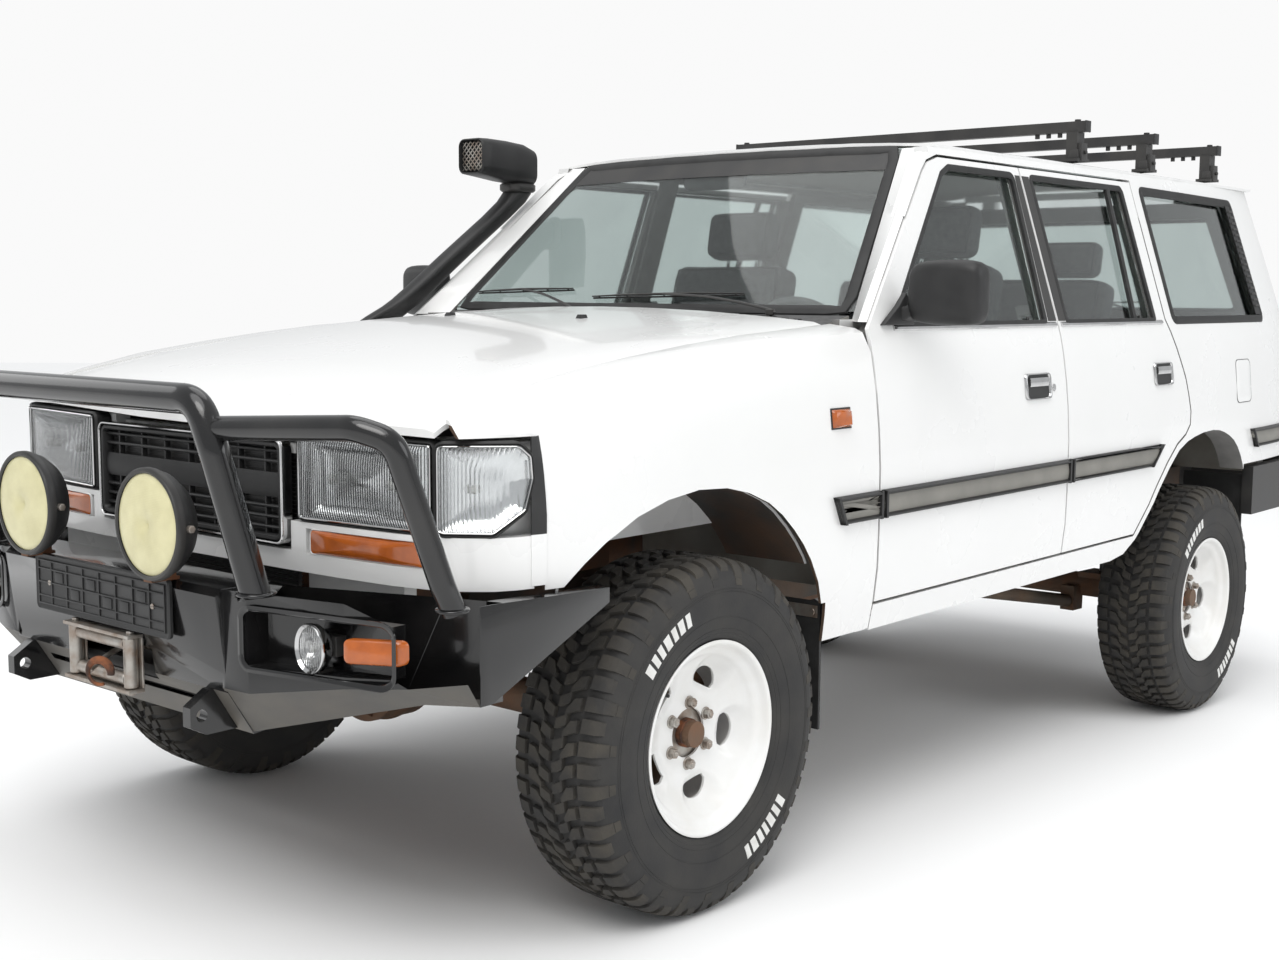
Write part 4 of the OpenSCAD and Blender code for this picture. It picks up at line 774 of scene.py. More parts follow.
STUD_R = 69.85
TREAD_PART, TYRE_PART, RIM_PART = tread(), tyre_body(), cut_mesh(rim_shell(), cutters())
BLOCK_PART, RING_PART = raised_blocks(), sidewall_rings()
for end, y in (("front", AXLE_Y), ("rear", REAR_Y)):
    for side in SIDES:
        tag = end + "_" + SIDE_NAME[side]
        body = "wheel_" + tag
        space = shift(side * WHEEL_X, y, WHEEL_Z) @ MM
        opts = dict(body=body, space=space, side=side)
        tyre_piece = partial(piece, stands_for="tyre_" + tag, **opts)
        tyre_piece("tyre_casing_" + tag, *TYRE_PART, RUBBER, slot="tyre", angle=50)
        tyre_piece("tyre_tread_" + tag, *TREAD_PART, TREAD, slot="tyre", angle=25)
        tyre_piece("tyre_rings_" + tag, *RING_PART, RUBBER, angle=40, closed=False)
        tyre_piece("tyre_marks_" + tag, *BLOCK_PART, LETTER, angle=30)
        rim_piece = partial(piece, stands_for="rim_" + tag, **opts)
        rim_piece("steel_rim_" + tag, *RIM_PART, WHEEL, slot="wheel_white", angle=40)
        rim_piece("wheel_hub_" + tag, *merge(
            disc(8, 50, 33, 40, 2), disc(50, 56, 29, 40, 2), disc(56, 60, 21, 32, 1.5),
            *[dome(56, 5, 4.5, 25 * cos(t), 25 * sin(t), 10) for t in (pi * k / 3 for k in range(6))]),
            RUST, angle=30)
        rim_piece("wheel_flange_" + tag, *disc(16, 34, 60, 48, 2), STEEL, angle=30)
        nuts = []
        for k in range(6):
            t = pi * (k + 0.5) / 3
            y1, z1 = STUD_R * cos(t), STUD_R * sin(t)
            nuts += [moved(disc(42, 47, 15, 20, 1), shift(0, y1, z1)),
                     hex_nut(46, 60, 11.5, y1, z1, 0.3 * k), dome(59, 7, 7, y1, z1)]
        rim_piece("wheel_nuts_" + tag, *merge(*nuts), STEEL, angle=30, bevel=0.8)
        rim_piece("wheel_valve_" + tag, *moved(merge(disc(60, 96, 4, 12, 1), disc(60, 68, 7, 12, 1)),
                      Matrix.Rotation(radians(50), 4, "X") @ shift(0, 0, 176)), SEAL)


# ---- front: bar, lamps, grille, winch ----
NOSE = [(0, -706), (352, -700), (500, -694), (650, -680), (745, -658), (800, -630), (842, -592), (864, -550),
        (874, -512)]
NOSE_LEN = [0]
for _a, _b in zip(NOSE, NOSE[1:]):
    NOSE_LEN.append(NOSE_LEN[-1] + math.dist(_a, _b))
NOSE_CURVE = smooth_path([(x, y, 0) for x, y in NOSE], 8)


def nose_at(s, z, d=0.0):
    """Point on the nose at arc length s from the middle, sunk by d behind its face."""
    i = max(k for k in range(len(NOSE_LEN) - 1) if NOSE_LEN[k] <= max(0, s))
    t = (s - NOSE_LEN[i]) / (NOSE_LEN[i + 1] - NOSE_LEN[i])
    k = min(len(NOSE_CURVE) - 2, int((i + t) * 8))
    f = (i + t) * 8 - k
    p = NOSE_CURVE[k].lerp(NOSE_CURVE[k + 1], f)
    g = (NOSE_CURVE[k + 1] - NOSE_CURVE[k]).normalized()
    return p.x - g.y * -1 * -d, p.y + g.x * d, z


def nose_s(x):
    """Arc length along the nose at x."""
    i = max(k for k in range(len(NOSE) - 1) if NOSE[k][0] <= x)
    t = (x - NOSE[i][0]) / (NOSE[i + 1][0] - NOSE[i][0])
    return NOSE_LEN[i] + t * (NOSE_LEN[i + 1] - NOSE_LEN[i])


def lamp_outline(corners, radius, steps=5):
    """Rounded polygon in arc length and height."""
    return [(p.x, p.y) for p in bend([(a, b, 0) for a, b in corners], radius, steps, closed=True)]


def bend(points, radius, steps=6, closed=False):
    """Polyline with filleted corners."""
    pts = [Vector(p) for p in points]
    n = len(pts)
    out = [] if closed else [pts[0]]
    for i in range(0 if closed else 1, n if closed else n - 1):
        p, a, b = pts[i], pts[(i - 1) % n], pts[(i + 1) % n]
        u, v = (a - p), (b - p)
        r = radius[i] if isinstance(radius, (list, tuple)) else radius
        half = u.angle(v) / 2
        cut = min(r / max(math.tan(half), 0.05), u.length * 0.48, v.length * 0.48)
        u.normalize()
        v.normalize()
        start, stop = p + u * cut, p + v * cut
        for k in range(steps + 1):
            t = k / steps
            out.append(start * (1 - t) ** 2 + p * 2 * t * (1 - t) + stop * t * t)
    return out if closed else out + [pts[-1]]


def fill_outline(outline, rings=6):
    """Rings of points shrinking from an outline to its middle: share 1 at the rim, 0 in the middle."""
    cx = sum(p[0] for p in outline) / len(outline)
    cz = sum(p[1] for p in outline) / len(outline)
    out = []
    for k in range(rings + 1):
        f = 1 - k / rings * 0.98
        out.append([(cx + (a - cx) * f, cz + (b - cz) * f, f) for a, b in outline])
    return out


def nose_shell(outline, depth, rings=8):
    """Sheet over an outline on the nose; depth(s, z, share) says how far it is sunk."""
    rows = [[nose_at(s, z, depth(s, z, f)) for s, z, f in ring] for ring in fill_outline(outline, rings)]
    verts, faces = grid(rows, close_v=True)
    m = len(outline)
    faces.append(tuple(rings * m + j for j in range(m)))
    return verts, faces


def nose_frame(outline, width, d0, d1):
    """Ring round an outline, from depth d0 to d1; width may be negative to lie inside it."""
    cx = sum(p[0] for p in outline) / len(outline)
    cz = sum(p[1] for p in outline) / len(outline)

    def grown(w):
        got = []
        n = len(outline)
        for i, (a, b) in enumerate(outline):
            p, q = outline[i - 1], outline[(i + 1) % n]
            dx, dz = q[0] - p[0], q[1] - p[1]
            d = hypot(dx, dz) or 1
            nx, nz = dz / d, -dx / d
            if (a - cx) * nx + (b - cz) * nz < 0:
                nx, nz = -nx, -nz
            got.append((a + nx * w, b + nz * w))
        return got
    inner, outer = grown(0), grown(width)
    mid = grown(width * 0.5)
    e = (d1 - d0) * 0.12
    rows = [[nose_at(s, z, d) for s, z in line] for line, d in
            ((inner, d1), (inner, d0 + e), (mid, d0), (outer, d0 + e), (outer, d1))]
    return hoop_of(rows)


HEAD = lamp_outline([(nose_s(376), 918), (nose_s(742), 918), (nose_s(742), 1088), (nose_s(376), 1088)], 9)
CORNER = lamp_outline([(nose_s(752), 918), (NOSE_LEN[6], 918), (NOSE_LEN[7] + 16, 962),
                       (NOSE_LEN[7] + 34, 1022),
                       (NOSE_LEN[7] + 30, 1066), (NOSE_LEN[7] + 4, 1088), (nose_s(752), 1088)], 15)
TURN = lamp_outline([(nose_s(404), 849), (nose_s(736), 849), (nose_s(736), 895), (nose_s(404), 895)], 9)


def bowls(s, z, f):
    """Depth of the headlamp's reflector: two dished bowls side by side."""
    out = 8.0
    for c in (nose_s(474), nose_s(640)):
        q = ((s - c) / 88) ** 2 + ((z - 1003) / 84) ** 2
        if q < 1:
            out = max(out, 8 + 27 * math.sqrt(1 - q))
    return out if f < 0.97 else 3.0


def bulb(radius, x=0):
    """A ball about the X axis."""
    return lathe([(x - radius * cos(a), max(0.02, radius * sin(a))) for a in (pi * k / 8 for k in range(9))],
                 16)


def bulge(s, z, f, lift=5):
    """Depth of a lens that stands out most in its middle."""
    return -lift + 5 * f ** 6


for name, part, mat, opts in (
        ("headlamp_lens", nose_shell(HEAD, bulge), RIBBED, dict(thick=3, slot="lamp_glass", angle=60)),
        ("headlamp_reflector", nose_shell(HEAD, bowls, 14), REFLECTOR, dict(thick=1.2, angle=50)),
        ("headlamp_rim", nose_frame(HEAD, 8, -3, 37), PLASTIC, dict(angle=40)),
        ("headlamp_chrome", nose_frame(HEAD, -3.5, -7, 4), CHROME, dict(angle=40)),
        ("corner_lens", nose_shell(CORNER, bulge), RIBBED, dict(thick=3, slot="lamp_glass", angle=60)),
        ("corner_reflector", nose_shell(CORNER, lambda s, z, f: 3 + 24 * (1 - f ** 4), 10), REFLECTOR,
         dict(thick=1.2, angle=50)),
        ("corner_rim", nose_frame(CORNER, 9, -4, 36), PLASTIC, dict(angle=40)),
        ("corner_chrome", nose_frame(CORNER, -3, -7, 4), CHROME, dict(angle=40)),
        ("turn_lens", nose_shell(TURN, lambda s, z, f: bulge(s, z, f, 4)), AMBER, dict(thick=3, angle=60)),
        ("turn_body", nose_frame(TURN, 5, -1, 20), WHITE, dict(angle=40)),
        ("turn_back", nose_shell(TURN, lambda s, z, f: 14, 3), SATIN, dict(thick=3)),
        ("lamp_bulbs", merge(*[moved(bulb(r), shift(*nose_at(nose_s(x), 1003, 16)))
                               for x, r in ((474, 11), (640, 11), (812, 9))]), BULB, dict(angle=0))):
    both_sides(name, part, mat, stands_for="front_lamps", **opts)

# grille: chrome surround, curved slats and one wide blank band
GRILLE = [(x, z + 968) for x, z in rounded(696, 220, 22, 7)]


def flat_frame(outline, inner, y0, y1, bow=0.3):
    """Ring between an outline and its copy shrunk by inner, in x and z, with a rounded face."""
    n = len(outline)
    rows = []
    for w, y in ((0, y1), (0, y0 + 4), (0.25, y0 + bow), (0.75, y0 + bow), (1, y0 + 4), (1, y1)):
        row = []
        for i, (a, b) in enumerate(outline):
            p, q = outline[i - 1], outline[(i + 1) % n]
            dx, dz = q[0] - p[0], q[1] - p[1]
            d = hypot(dx, dz) or 1
            row.append((a - dz / d * inner * w, y, b + dx / d * inner * w))
        rows.append(row)
    return hoop_of(rows)


def slat(z, half, face, depth=24, width=330):
    """Grille blade whose front edge is rounded and leans down."""
    rows = []
    for k in range(25):
        x = -width + 2 * width * k / 24
        y = face + 3.0 * (x / width) ** 2
        rows.append([(x, y + depth, z + half - 2), (x, y + 3, z + half), (x, y, z + half * 0.5),
                     (x, y - 0.6, z),
                     (x, y + 0.5, z - half * 0.6), (x, y + 4, z - half), (x, y + depth, z - half + 2)])
    return loft(rows)


grille = partial(piece, stands_for="grille")
grille("grille_chrome", *flat_frame(GRILLE, 6, -716, -690), CHROME, slot="dark_plastic", angle=40)
grille("grille_surround", *flat_frame([(x * 0.981, 968 + (z - 968) * 0.94) for x, z in GRILLE], 12, -713, -684),
       PLASTIC, angle=40)
blades = [slat(z, h, y) for z, h, y in
          ((1051, 4, -706), (1029, 4, -706), (980, 26, -709), (934, 4, -706), (912, 4, -706), (890, 4, -706))]
grille("grille_slats", *merge(*blades, *[block((x - 2.5, -703, 872), (x + 2.5, -690, 1066))
                                         for x in range(-276, 277, 92)]), PLASTIC, angle=40)
grille("grille_core", *merge(block((-336, -686, 866), (336, -682, 1070)),
       *[block((-334, -688, z - 0.8), (334, -686, z + 0.8)) for z in range(870, 1068, 7)]), SATIN)

# bar: its folded box comes from the CAD, the hoops are drawn as bent tube
bar = bmesh.new()
bar.from_mesh(NODES["bull_bar"].data)
bmesh.ops.remove_doubles(bar, verts=bar.verts, dist=2e-5)
bmesh.ops.delete(bar, geom=[v for v in bar.verts if (TO_BODY @ v.co).z > 803], context="VERTS")
bmesh.ops.dissolve_limit(bar, angle_limit=radians(1), verts=bar.verts, edges=bar.edges)
bar_mesh = bpy.data.meshes.new("bar_box")
bar.to_mesh(bar_mesh)
bar.free()
bar_box = new_object("bar_box", bar_mesh)
turn3 = TO_BODY.to_3x3().normalized()
for poly in bar_mesh.polygons:
    n = turn3 @ poly.normal
    poly.material_index = int(n.z < -0.25 and n.y < 0.3)
finish_mesh(bar_box, [GLOSS, BUMPER], "body", 2.5, 0, True, 40)
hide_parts("bull_bar")
hoop = bend([(-500, -896, 800), (-466, -957, 1080), (-430, -965, 1175), (430, -965, 1175), (466, -957, 1080),
             (500, -896, 800)], [0, 60, 75, 75, 60, 0], 9)
UPRIGHT = Matrix.Rotation(-pi / 2, 4, "Y")
parts = [tube(hoop, 30, 24)]
for side in SIDES:
    path = bend([(470, -950, 1122), (815, -905, 1140), (874, -866, 1118), (902, -778, 850), (902, -752, 800)],
                [0, 70, 60, 50, 0], 8)
    parts += [moved(part, flip(side)) for part in (
        tube(path, 24, 20), moved(disc(0, 7, 40, 32, 2), shift(500, -894, 798) @ UPRIGHT),
        moved(disc(0, 7, 33, 32, 2), shift(900, -752, 798) @ UPRIGHT))]
piece("bar_hoops", *merge(*parts), GLOSS, slot="bar_black", angle=50, stands_for="bull_bar")

FACING = Matrix.Rotation(-pi / 2, 4, "Z")
SPOT = (240, -940, 917)
AT_SPOT = shift(*SPOT) @ FACING
shell = [(-62, 0.02), (-62, 28), (-56, 52), (-38, 84), (-14, 104), (2, 110), (18, 111), (20, 107), (4, 104),
         (0, 60), (0, 0.02)]
rim = [(8, 103), (8, 113.5), (12, 114.5), (22, 114.5), (26, 112), (27, 107), (24, 103)]
face = [(20, 0.02)] + [(20 + 11 * cos(pi / 2 * k / 7), 104.5 * sin(pi / 2 * k / 7)) for k in range(1, 8)]
face += [(12, 104.5), (12, 0.02)]
spot = partial(both_sides, stands_for="driving_lamps")
spot("spot_shell", moved(lathe(shell, 64), AT_SPOT), PLASTIC, angle=45, slot="dark_plastic")
spot("spot_rim", moved(lathe(rim, 72), AT_SPOT), SATIN, angle=45)
spot("spot_cover", moved(lathe(face, 72), AT_SPOT), COVER, angle=55)
spot("spot_foot", merge(
    block((226, -966, 801), (254, -900, 808)), block((226, -958, 806), (232, -908, 826)),
    block((248, -958, 806), (254, -908, 826)), moved(disc(222, 258, 6, 12, 1), shift(0, -933, 817)),
    hex_nut(254, 260, 8, -933, 817), hex_nut(220, 226, 8, -933, 817)), IRON, bevel=1)
ears = merge(hex_nut(110, 122, 8, 0, 0), hex_nut(-122, -110, 8, 0, 0))
both_sides("spot_bolts", moved(ears, shift(*SPOT)), STEEL, bevel=0.8)
# fog lamp and repeater in the pocket
FOG = shift(634, -862, 709) @ FACING @ Matrix.Diagonal((1, 0.95, 1.1, 1))
for name, part, mat, angle in (
        ("fog_shell", lathe([(-30, 0.02), (-28, 26), (-6, 43), (10, 45), (14, 43), (9, 39), (0, 30), (-14, 14),
                             (-18, 0.02)], 40), CHROME, 45),
        ("fog_lens", lathe([(8, 0.02), (10.5, 0.02), (10, 20), (8, 39.5), (5, 39.5), (7.5, 20)], 40), RIBBED,
         60), ("fog_bulb", bulb(7, -6), BULB, 0)):
    both_sides(name, moved(part, FOG), mat, angle=angle)
both_sides("fog_post", merge(block((622, -858, 652), (646, -826, 668)),
                             block((606, -832, 690), (662, -800, 730))), SATIN, bevel=1.5)
rep = [(x + 772, z + 716) for x, z in rounded(104, 48, 12, 5)]
lens = [[(x, -838 + 18 * f - (x - 772) * -0.55, z) for x, z in line] for line, f in
        ((rep, 1.0), (rep, 0.35), ([(772 + (x - 772) * 0.86, 716 + (z - 716) * 0.8) for x, z in rep], 0.0))]
both_sides("repeater_lens", loft(lens), AMBER, angle=50)
lip = [(x + 640, z + 712) for x, z in rounded(372, 132, 30, 6)]
hood = [[(640 + (x - 640) * (1 - w / 186), lerp(x, [(454, -904), (640, -896.5), (826, -826)]) - h,
          712 + (z - 712) * (1 - w / 66)) for x, z in lip] for w, h in ((0, -1), (0, 2.4), (7, 3.2), (11, -1))]
both_sides("fog_lip", hoop_of(hood), GLOSS, angle=50)

# blank plate carrier with moulded ribs
# its middle lies at z 742
plate = rounded(520, 124, 12, 5)
ribs = [block((-244, -932.5, z - 1.6), (244, -929.5, z + 1.6)) for z in (694, 712, 742, 772, 790)]
ribs += [block((x - 1.6, -932.5, 692), (x + 1.6, -929.5, 792))
         for x in (-244, -190, -128, -64, 0, 64, 128, 190, 244)]
ribs += [block((x - 16, -932, z - 11), (x + 16, -929.5, z + 11)) for x,
         z in ((-96, 727), (96, 727), (-160, 757), (160, 757), (-32, 757), (32, 727))]
piece("plate_carrier", *loft([[(x * s, y, 742 + z * s) for x, z in plate] for y, s in
      ((-922.5, 1), (-929, 1), (-931.5, 0.985), (-930, 0.965))]), PLASTIC, angle=30)
piece("plate_ribs", *merge(*ribs), PLASTIC, bevel=0.5)
for k, x in enumerate((-200, 200)):
    piece("plate_screw_%d" % k, *moved(disc(0, 3, 6, 16, 0.8), shift(x, -929.5, 742) @ FACING), STEEL)


# ---- winch, fairlead rollers and hook ----
AT_DRUM = shift(0, -808, 655)
winch = partial(piece, stands_for="winch")
roll = []
for x in (-106, 106):
    roll.append(moved(disc(556, 664, 15, 32, 2.5), shift(x, -926, 0) @ UPRIGHT))
for z in (572, 648):
    roll.append(moved(disc(-90, 90, 13.5, 32, 2), shift(0, -924, z)))
winch("fairlead_rollers", *merge(*roll), STEEL, angle=40, slot="winch_steel")
frame_part = [block((-126, -945, 663.5), (126, -907, 671)), block((-126, -945, 547), (126, -907, 554.5)),
              block((-126, -912, 556), (-92, -907, 664)), block((92, -912, 556), (126, -907, 664))]
for x in (-106, 106):
    frame_part.append(moved(merge(hex_nut(671, 677, 9, 0, 0), hex_nut(541, 547, 9, 0, 0)),
                            shift(x, -926, 0) @ UPRIGHT))
winch("fairlead_frame", *merge(*frame_part), STEEL, bevel=1.2, angle=35)
drum = []
for k in range(11):
    drum.append(moved(lathe([(-2, 36), (-10, 40), (-11.8, 44), (-11.8, 49), (-10, 52), (-1, 52), (-1, 36)], 40),
                      shift(-110 + 23 * k, -808, 655)))
winch("winch_drum", *merge(*[moved(lathe([(-128, 0.02), (-128, 60), (-122, 62), (-120, 44), (120, 44),
                                          (122, 62),
                 (128, 60), (128, 0.02)], 48), AT_DRUM), *drum]), STEEL, angle=40)
motor = [moved(lathe([(-276, 0.02), (-276, 52), (-268, 61), (-240, 63), (-236, 60), (-232, 63), (-140, 63),
                      (-128, 56), (-128, 0.02)], 48), AT_DRUM),
         moved(lathe([(128, 0.02), (128, 60), (134, 66), (160, 67), (166, 62), (172, 67), (240, 67), (252, 58),
                      (258, 40), (258, 0.02)], 48),
               AT_DRUM), block((-276, -858, 548.5), (258, -758, 590))]
winch("winch_motor", *merge(*motor), SATIN, angle=35, bevel=1.5)
rope_path = smooth_path([(0, -850, 632), (2, -880, 622), (0, -905, 612), (14, -938, 604), (42, -984, 593)], 8)
winch("winch_rope_end", *tube(rope_path, 6, 16), STEEL, angle=0)
hook_path = [Vector((66, -975, 592)) + Matrix.Rotation(radians(30), 3, "Z") @ Vector(
    (26 * cos(a), 0, 26 * sin(a))) for a in (radians(-10 + 300 * k / 32) for k in range(33))]
winch("winch_hook", *tube(hook_path, [4 + 5 * sin(pi * min(1, (k + 4) / 26) ** 0.8) if k < 30 else 3.5
             for k in range(33)], 16), RUST, angle=0)

# ---- sides: mouldings, handles, marker, fuel flap, window rubbers, trims ----


def moulding(y0, y1, skew0, skew1, stem, body, low=825, high=895, hold=-9999):
    """Side moulding with a dark edge strip above and below and a sunk grey face."""
    def rows(z0, z1, heights):
        out = []
        for k, h in enumerate(heights):
            z = z0 + (z1 - z0) * k / (len(heights) - 1)
            f = (z - low) / (high - low)
            a, b = y0 + skew0 * (1 - f), y1 + skew1 * (1 - f)
            n = max(2, int((b - a) / 60))
            out.append([(a + (b - a) * i / n, z, h) for i in range(n + 1)])
        return out
    both_sides(stem + "_face", on_side(rows(low + 8, high - 8, [0.5, 0.62, 0.7, 0.7, 0.62, 0.5]), 17,
                                       hold=hold), MOULDING, body, angle=40)
    both_sides(stem + "_upper", on_side(rows(high - 12, high, [0.55, 1, 1.0, 0.35]), 18, hold=hold), PLASTIC,
               body, angle=50)
    both_sides(stem + "_lower", on_side(rows(low, low + 12, [0.35, 1, 1.0, 0.55]), 18, hold=hold), PLASTIC,
               body, angle=50)
    caps = []
    for a, b, s in ((y0, y0 + 9, skew0), (y1 - 9, y1, skew1)):
        caps.append(on_side([[(y + s * (1 - k / 4), low + (high - low) * k / 4, 0.98) for y in (a, b)]
                             for k in range(5)], 18, hold=hold))
    both_sides(stem + "_ends", merge(*caps), PLASTIC, body, angle=50)


moulding(482, 684, 34, 0, "moulding_wing", "body", hold=585)
moulding(698, 1732, 0, 0, "moulding_front_door", "door_front_")
moulding(1746, 2420, 0, -82, "moulding_rear_door", "door_rear_")
moulding(3250, 3790, 50, 0, "moulding_quarter", "body")


def handle(y0, y1, z0, z1, stem, body):
    """Pull handle: a dark dished cup, a chrome frame and the flap."""
    yc, zc, w, h = (y0 + y1) / 2, (z0 + z1) / 2, y1 - y0, z1 - z0
    outer = [(yc + a, zc + b) for a, b in rounded(w, h, 14, 5)]
    def ring(f, out):
        return [(skin_x(yc + (a - yc) * f, zc + (b - zc) * f) + out, yc + (a - yc) * f, zc + (b - zc) * f)
                for a, b in outer]
    both_sides(stem + "_frame", grid([ring(1, -2), ring(1, 5), ring(0.97, 8), ring(0.90, 8), ring(0.86, 5),
                                      ring(0.86, -2)], close_u=True, close_v=True), CHROME, body, angle=50)
    cup = [ring(0.88, 2.5), ring(0.8, 1.5), ring(0.5, 1.2), ring(0.05, 1.2)]
    both_sides(stem + "_cup", loft(cup), PLASTIC, body, angle=50)
    flap = []
    for k in range(7):
        y = yc - w * 0.36 + w * 0.72 * k / 6
        x = skin_x(y, zc + h * 0.2)
        flap.append([(x + o, y, zc + h * v) for o, v in ((2, 0.33), (8, 0.33), (10.5, 0.26), (10.5, 0.06),
                                                         (8.5, 0.0), (4, 0.02))])
    both_sides(stem + "_flap", loft(flap), CHROME, body, angle=40)


handle(1471, 1628, 1082, 1158, "handle_front", "door_front_")
handle(2374, 2520, 1088, 1164, "handle_rear", "door_rear_")
both_sides("lock_front", moved(merge(disc(-2, 3, 11, 24, 1), disc(2, 4, 7, 24, 0.8)),
                               shift(skin_x(1652, 1112), 1652, 1112)), CHROME, "door_front_")

# side marker and fuel flap
marker = [[(y, z, h) for y, h in ((484, 0.3), (490, 1), (522, 1.1), (554, 1), (560, 0.3))]
          for z in (1062, 1068, 1084, 1099, 1105)]
marker = [[(y, z, h * (0.4 if z in (1062, 1105) else 1)) for y, z, h in row] for row in marker]
both_sides("side_marker", on_side(marker, 12), AMBER, angle=50)
both_sides("side_marker_rim", on_side([[(y, z, 1) for y in (480, 564)] for z in (1058, 1109)], 2.2), PLASTIC)
flap_line = [(3180 + a, 1076 + b) for a, b in rounded(150, 157, 22, 6)]
flap_groove = [[(skin_x(y, z) + o, 3180 + (y - 3180) * f, 1076 + (z - 1076) * f) for y, z in flap_line]
               for f, o in ((1.0, 0.2), (1.0, 0.9), (0.975, 0.9), (0.975, 0.2))]
piece("fuel_flap_groove", *hoop_of(flap_groove), SEAL)
flap_skin = [[(skin_x(3180 + (y - 3180) * f, 1076 + (z - 1076) * f) + o, 3180 + (y - 3180) * f,
               1076 + (z - 1076) * f)
              for y, z in flap_line] for f, o in ((0.96, -0.5), (0.96, 1.2), (0.93, 1.8), (0.5, 2.0),
                                                  (0.05, 2.0))]
piece("fuel_flap", *loft(flap_skin), WHITE, angle=50)

WINDOWS = {"front": [(815, 1300), (1665, 1300), (1690, 1738), (1312, 1738), (1262, 1716)],
           "rear": [(1800, 1300), (2452, 1300), (2452, 1738), (1800, 1738)],
           "quarter": [(2606, 1300), (3470, 1300), (3440, 1730), (2606, 1738)]}


def ring_on_side(line, width, height, inset=0.0, r=18):
    """Rubber section along a closed window outline, half on the panel and half over the glass."""
    pts = [(p.x, p.y) for p in bend([(a, b, 0) for a, b in line], r, 4, closed=True)]
    pts = dense(pts, 60, closed=True)
    n = len(pts)
    cy, cz = sum(p[0] for p in pts) / n, sum(p[1] for p in pts) / n
    rows = []
    for i, (y, z) in enumerate(pts):
        a, b = pts[i - 1], pts[(i + 1) % n]
        dy, dz = b[0] - a[0], b[1] - a[1]
        d = hypot(dy, dz) or 1
        ny, nz = dz / d, -dy / d
        if (y - cy) * ny + (z - cz) * nz < 0:
            ny, nz = -ny, -nz
        x = max(skin_x(y + ny * 7, z + nz * 7), skin_x(y + ny * 14, z + nz * 14) - 3)
        rows.append([(x + h, y + ny * w, z + nz * w) for w, h in
                     ((-width * 0.6 + inset, -9), (-width * 0.6 + inset, 0.5), (-width * 0.35 + inset, height),
                      (width * 0.3 + inset, height),
                      (width * 0.5 + inset, 0.6), (width * 0.5 + inset, -4))])
    return hoop_of(rows)


both_sides("window_rubber_front", ring_on_side(WINDOWS["front"], 17, 3.0), SEAL, "door_front_", angle=50)
both_sides("window_rubber_rear", ring_on_side(WINDOWS["rear"], 17, 3.0), SEAL, "door_rear_", angle=50)
both_sides("window_rubber_quarter", ring_on_side(WINDOWS["quarter"], 26, 4.0, 2), SEAL, angle=50)
divider = [[(skin_x(2490, z) + o, lerp(z, [(1300, 2306), (1738, 2352)]) + dy, z) for dy, o in
            ((-11, -14), (-11, -3), (-4, 0), (4, 0), (11, -3), (11, -14))]
           for z in (1302, 1400, 1500, 1600, 1700, 1736)]
both_sides("window_divider", loft(divider), SEAL, "door_rear_", angle=50)
for stem, body, a, b in (("belt_front", "door_front_", 812, 1722), ("belt_rear", "door_rear_", 1756, 2500)):
    both_sides(stem, on_side([[(y, z, h) for y in (a + (b - a) * k / 16 for k in range(17))]
               for z, h in ((1289, 0.3), (1293, 1.0), (1299, 1.0), (1303, 0.4))], 6), CHROME, body, angle=50)
# black post trims between the doors and the slotted panel behind the quarter window
both_sides("post_trim_front", on_side([[(lerp(z, [(1306, 1679), (1738, 1702)]), z, 0.6),
                                        (lerp(z, [(1306, 1730), (1738, 1731)]), z, 0.6)]
           for z in (1306, 1400, 1500, 1600, 1738)], 2.2), SATIN, "door_front_")
both_sides("post_trim_rear", on_side([[(1746, z, 0.6), (1790, z, 0.6)] for z in (1306, 1400, 1500, 1600, 1738)],
                                     2.2), SATIN, "door_rear_")
vent = [[(skin_x(3500, z) + o, lerp(z, [(1310, 3462), (1726, 3436)]) + dy, z) for dy,
         o in ((-46, 2), (-46, 5), (20, 5), (20, 2))]
        for z in (1316, 1400, 1500, 1600, 1722)]
both_sides("vent_panel", loft(vent), PLASTIC, angle=40)
slots = []
for z in range(1345, 1700, 22):
    y = lerp(z, [(1310, 3462), (1726, 3436)])
    x = skin_x(3500, z) + 4
    slots.append(block((x, y - 38, z), (x + 4, y + 12, z + 9), 1.5))
both_sides("vent_slots", merge(*slots), SATIN, "body", bevel=0.8)

# ---- glass surrounds, wipers, cowl ----
WS_LOW, WS_TOP, BOW = (749, 800, 1336), (603, 1252, 1791), 62
SCREEN_OUT = Vector((0, -(WS_TOP[2] - WS_LOW[2]), WS_TOP[1] - WS_LOW[1])).normalized()


def screen(u, v, out=0.0):
    """Point on the windscreen: u from -1 to 1 across, v from 0 at the foot to 1 at the header."""
    x = u * (WS_LOW[0] + (WS_TOP[0] - WS_LOW[0]) * v)
    y = WS_LOW[1] + (WS_TOP[1] - WS_LOW[1]) * v - BOW * (1 - u * u)
    z = WS_LOW[2] + (WS_TOP[2] - WS_LOW[2]) * v
    return Vector((x + u * 0.35 * out, y + SCREEN_OUT.y * out, z + SCREEN_OUT.z * out))


SCREEN_TREE = tree_of(["fixed_glass"])


def on_screen(u, v, out=0.0):
    """Windscreen point moved on to the glass's own outer face."""
    p = screen(u, v)
    hit = SCREEN_TREE.ray_cast(p + SCREEN_OUT * 60, -SCREEN_OUT)[0]
    return (hit if hit is not None and (hit - p).length < 45 else p) + SCREEN_OUT * out


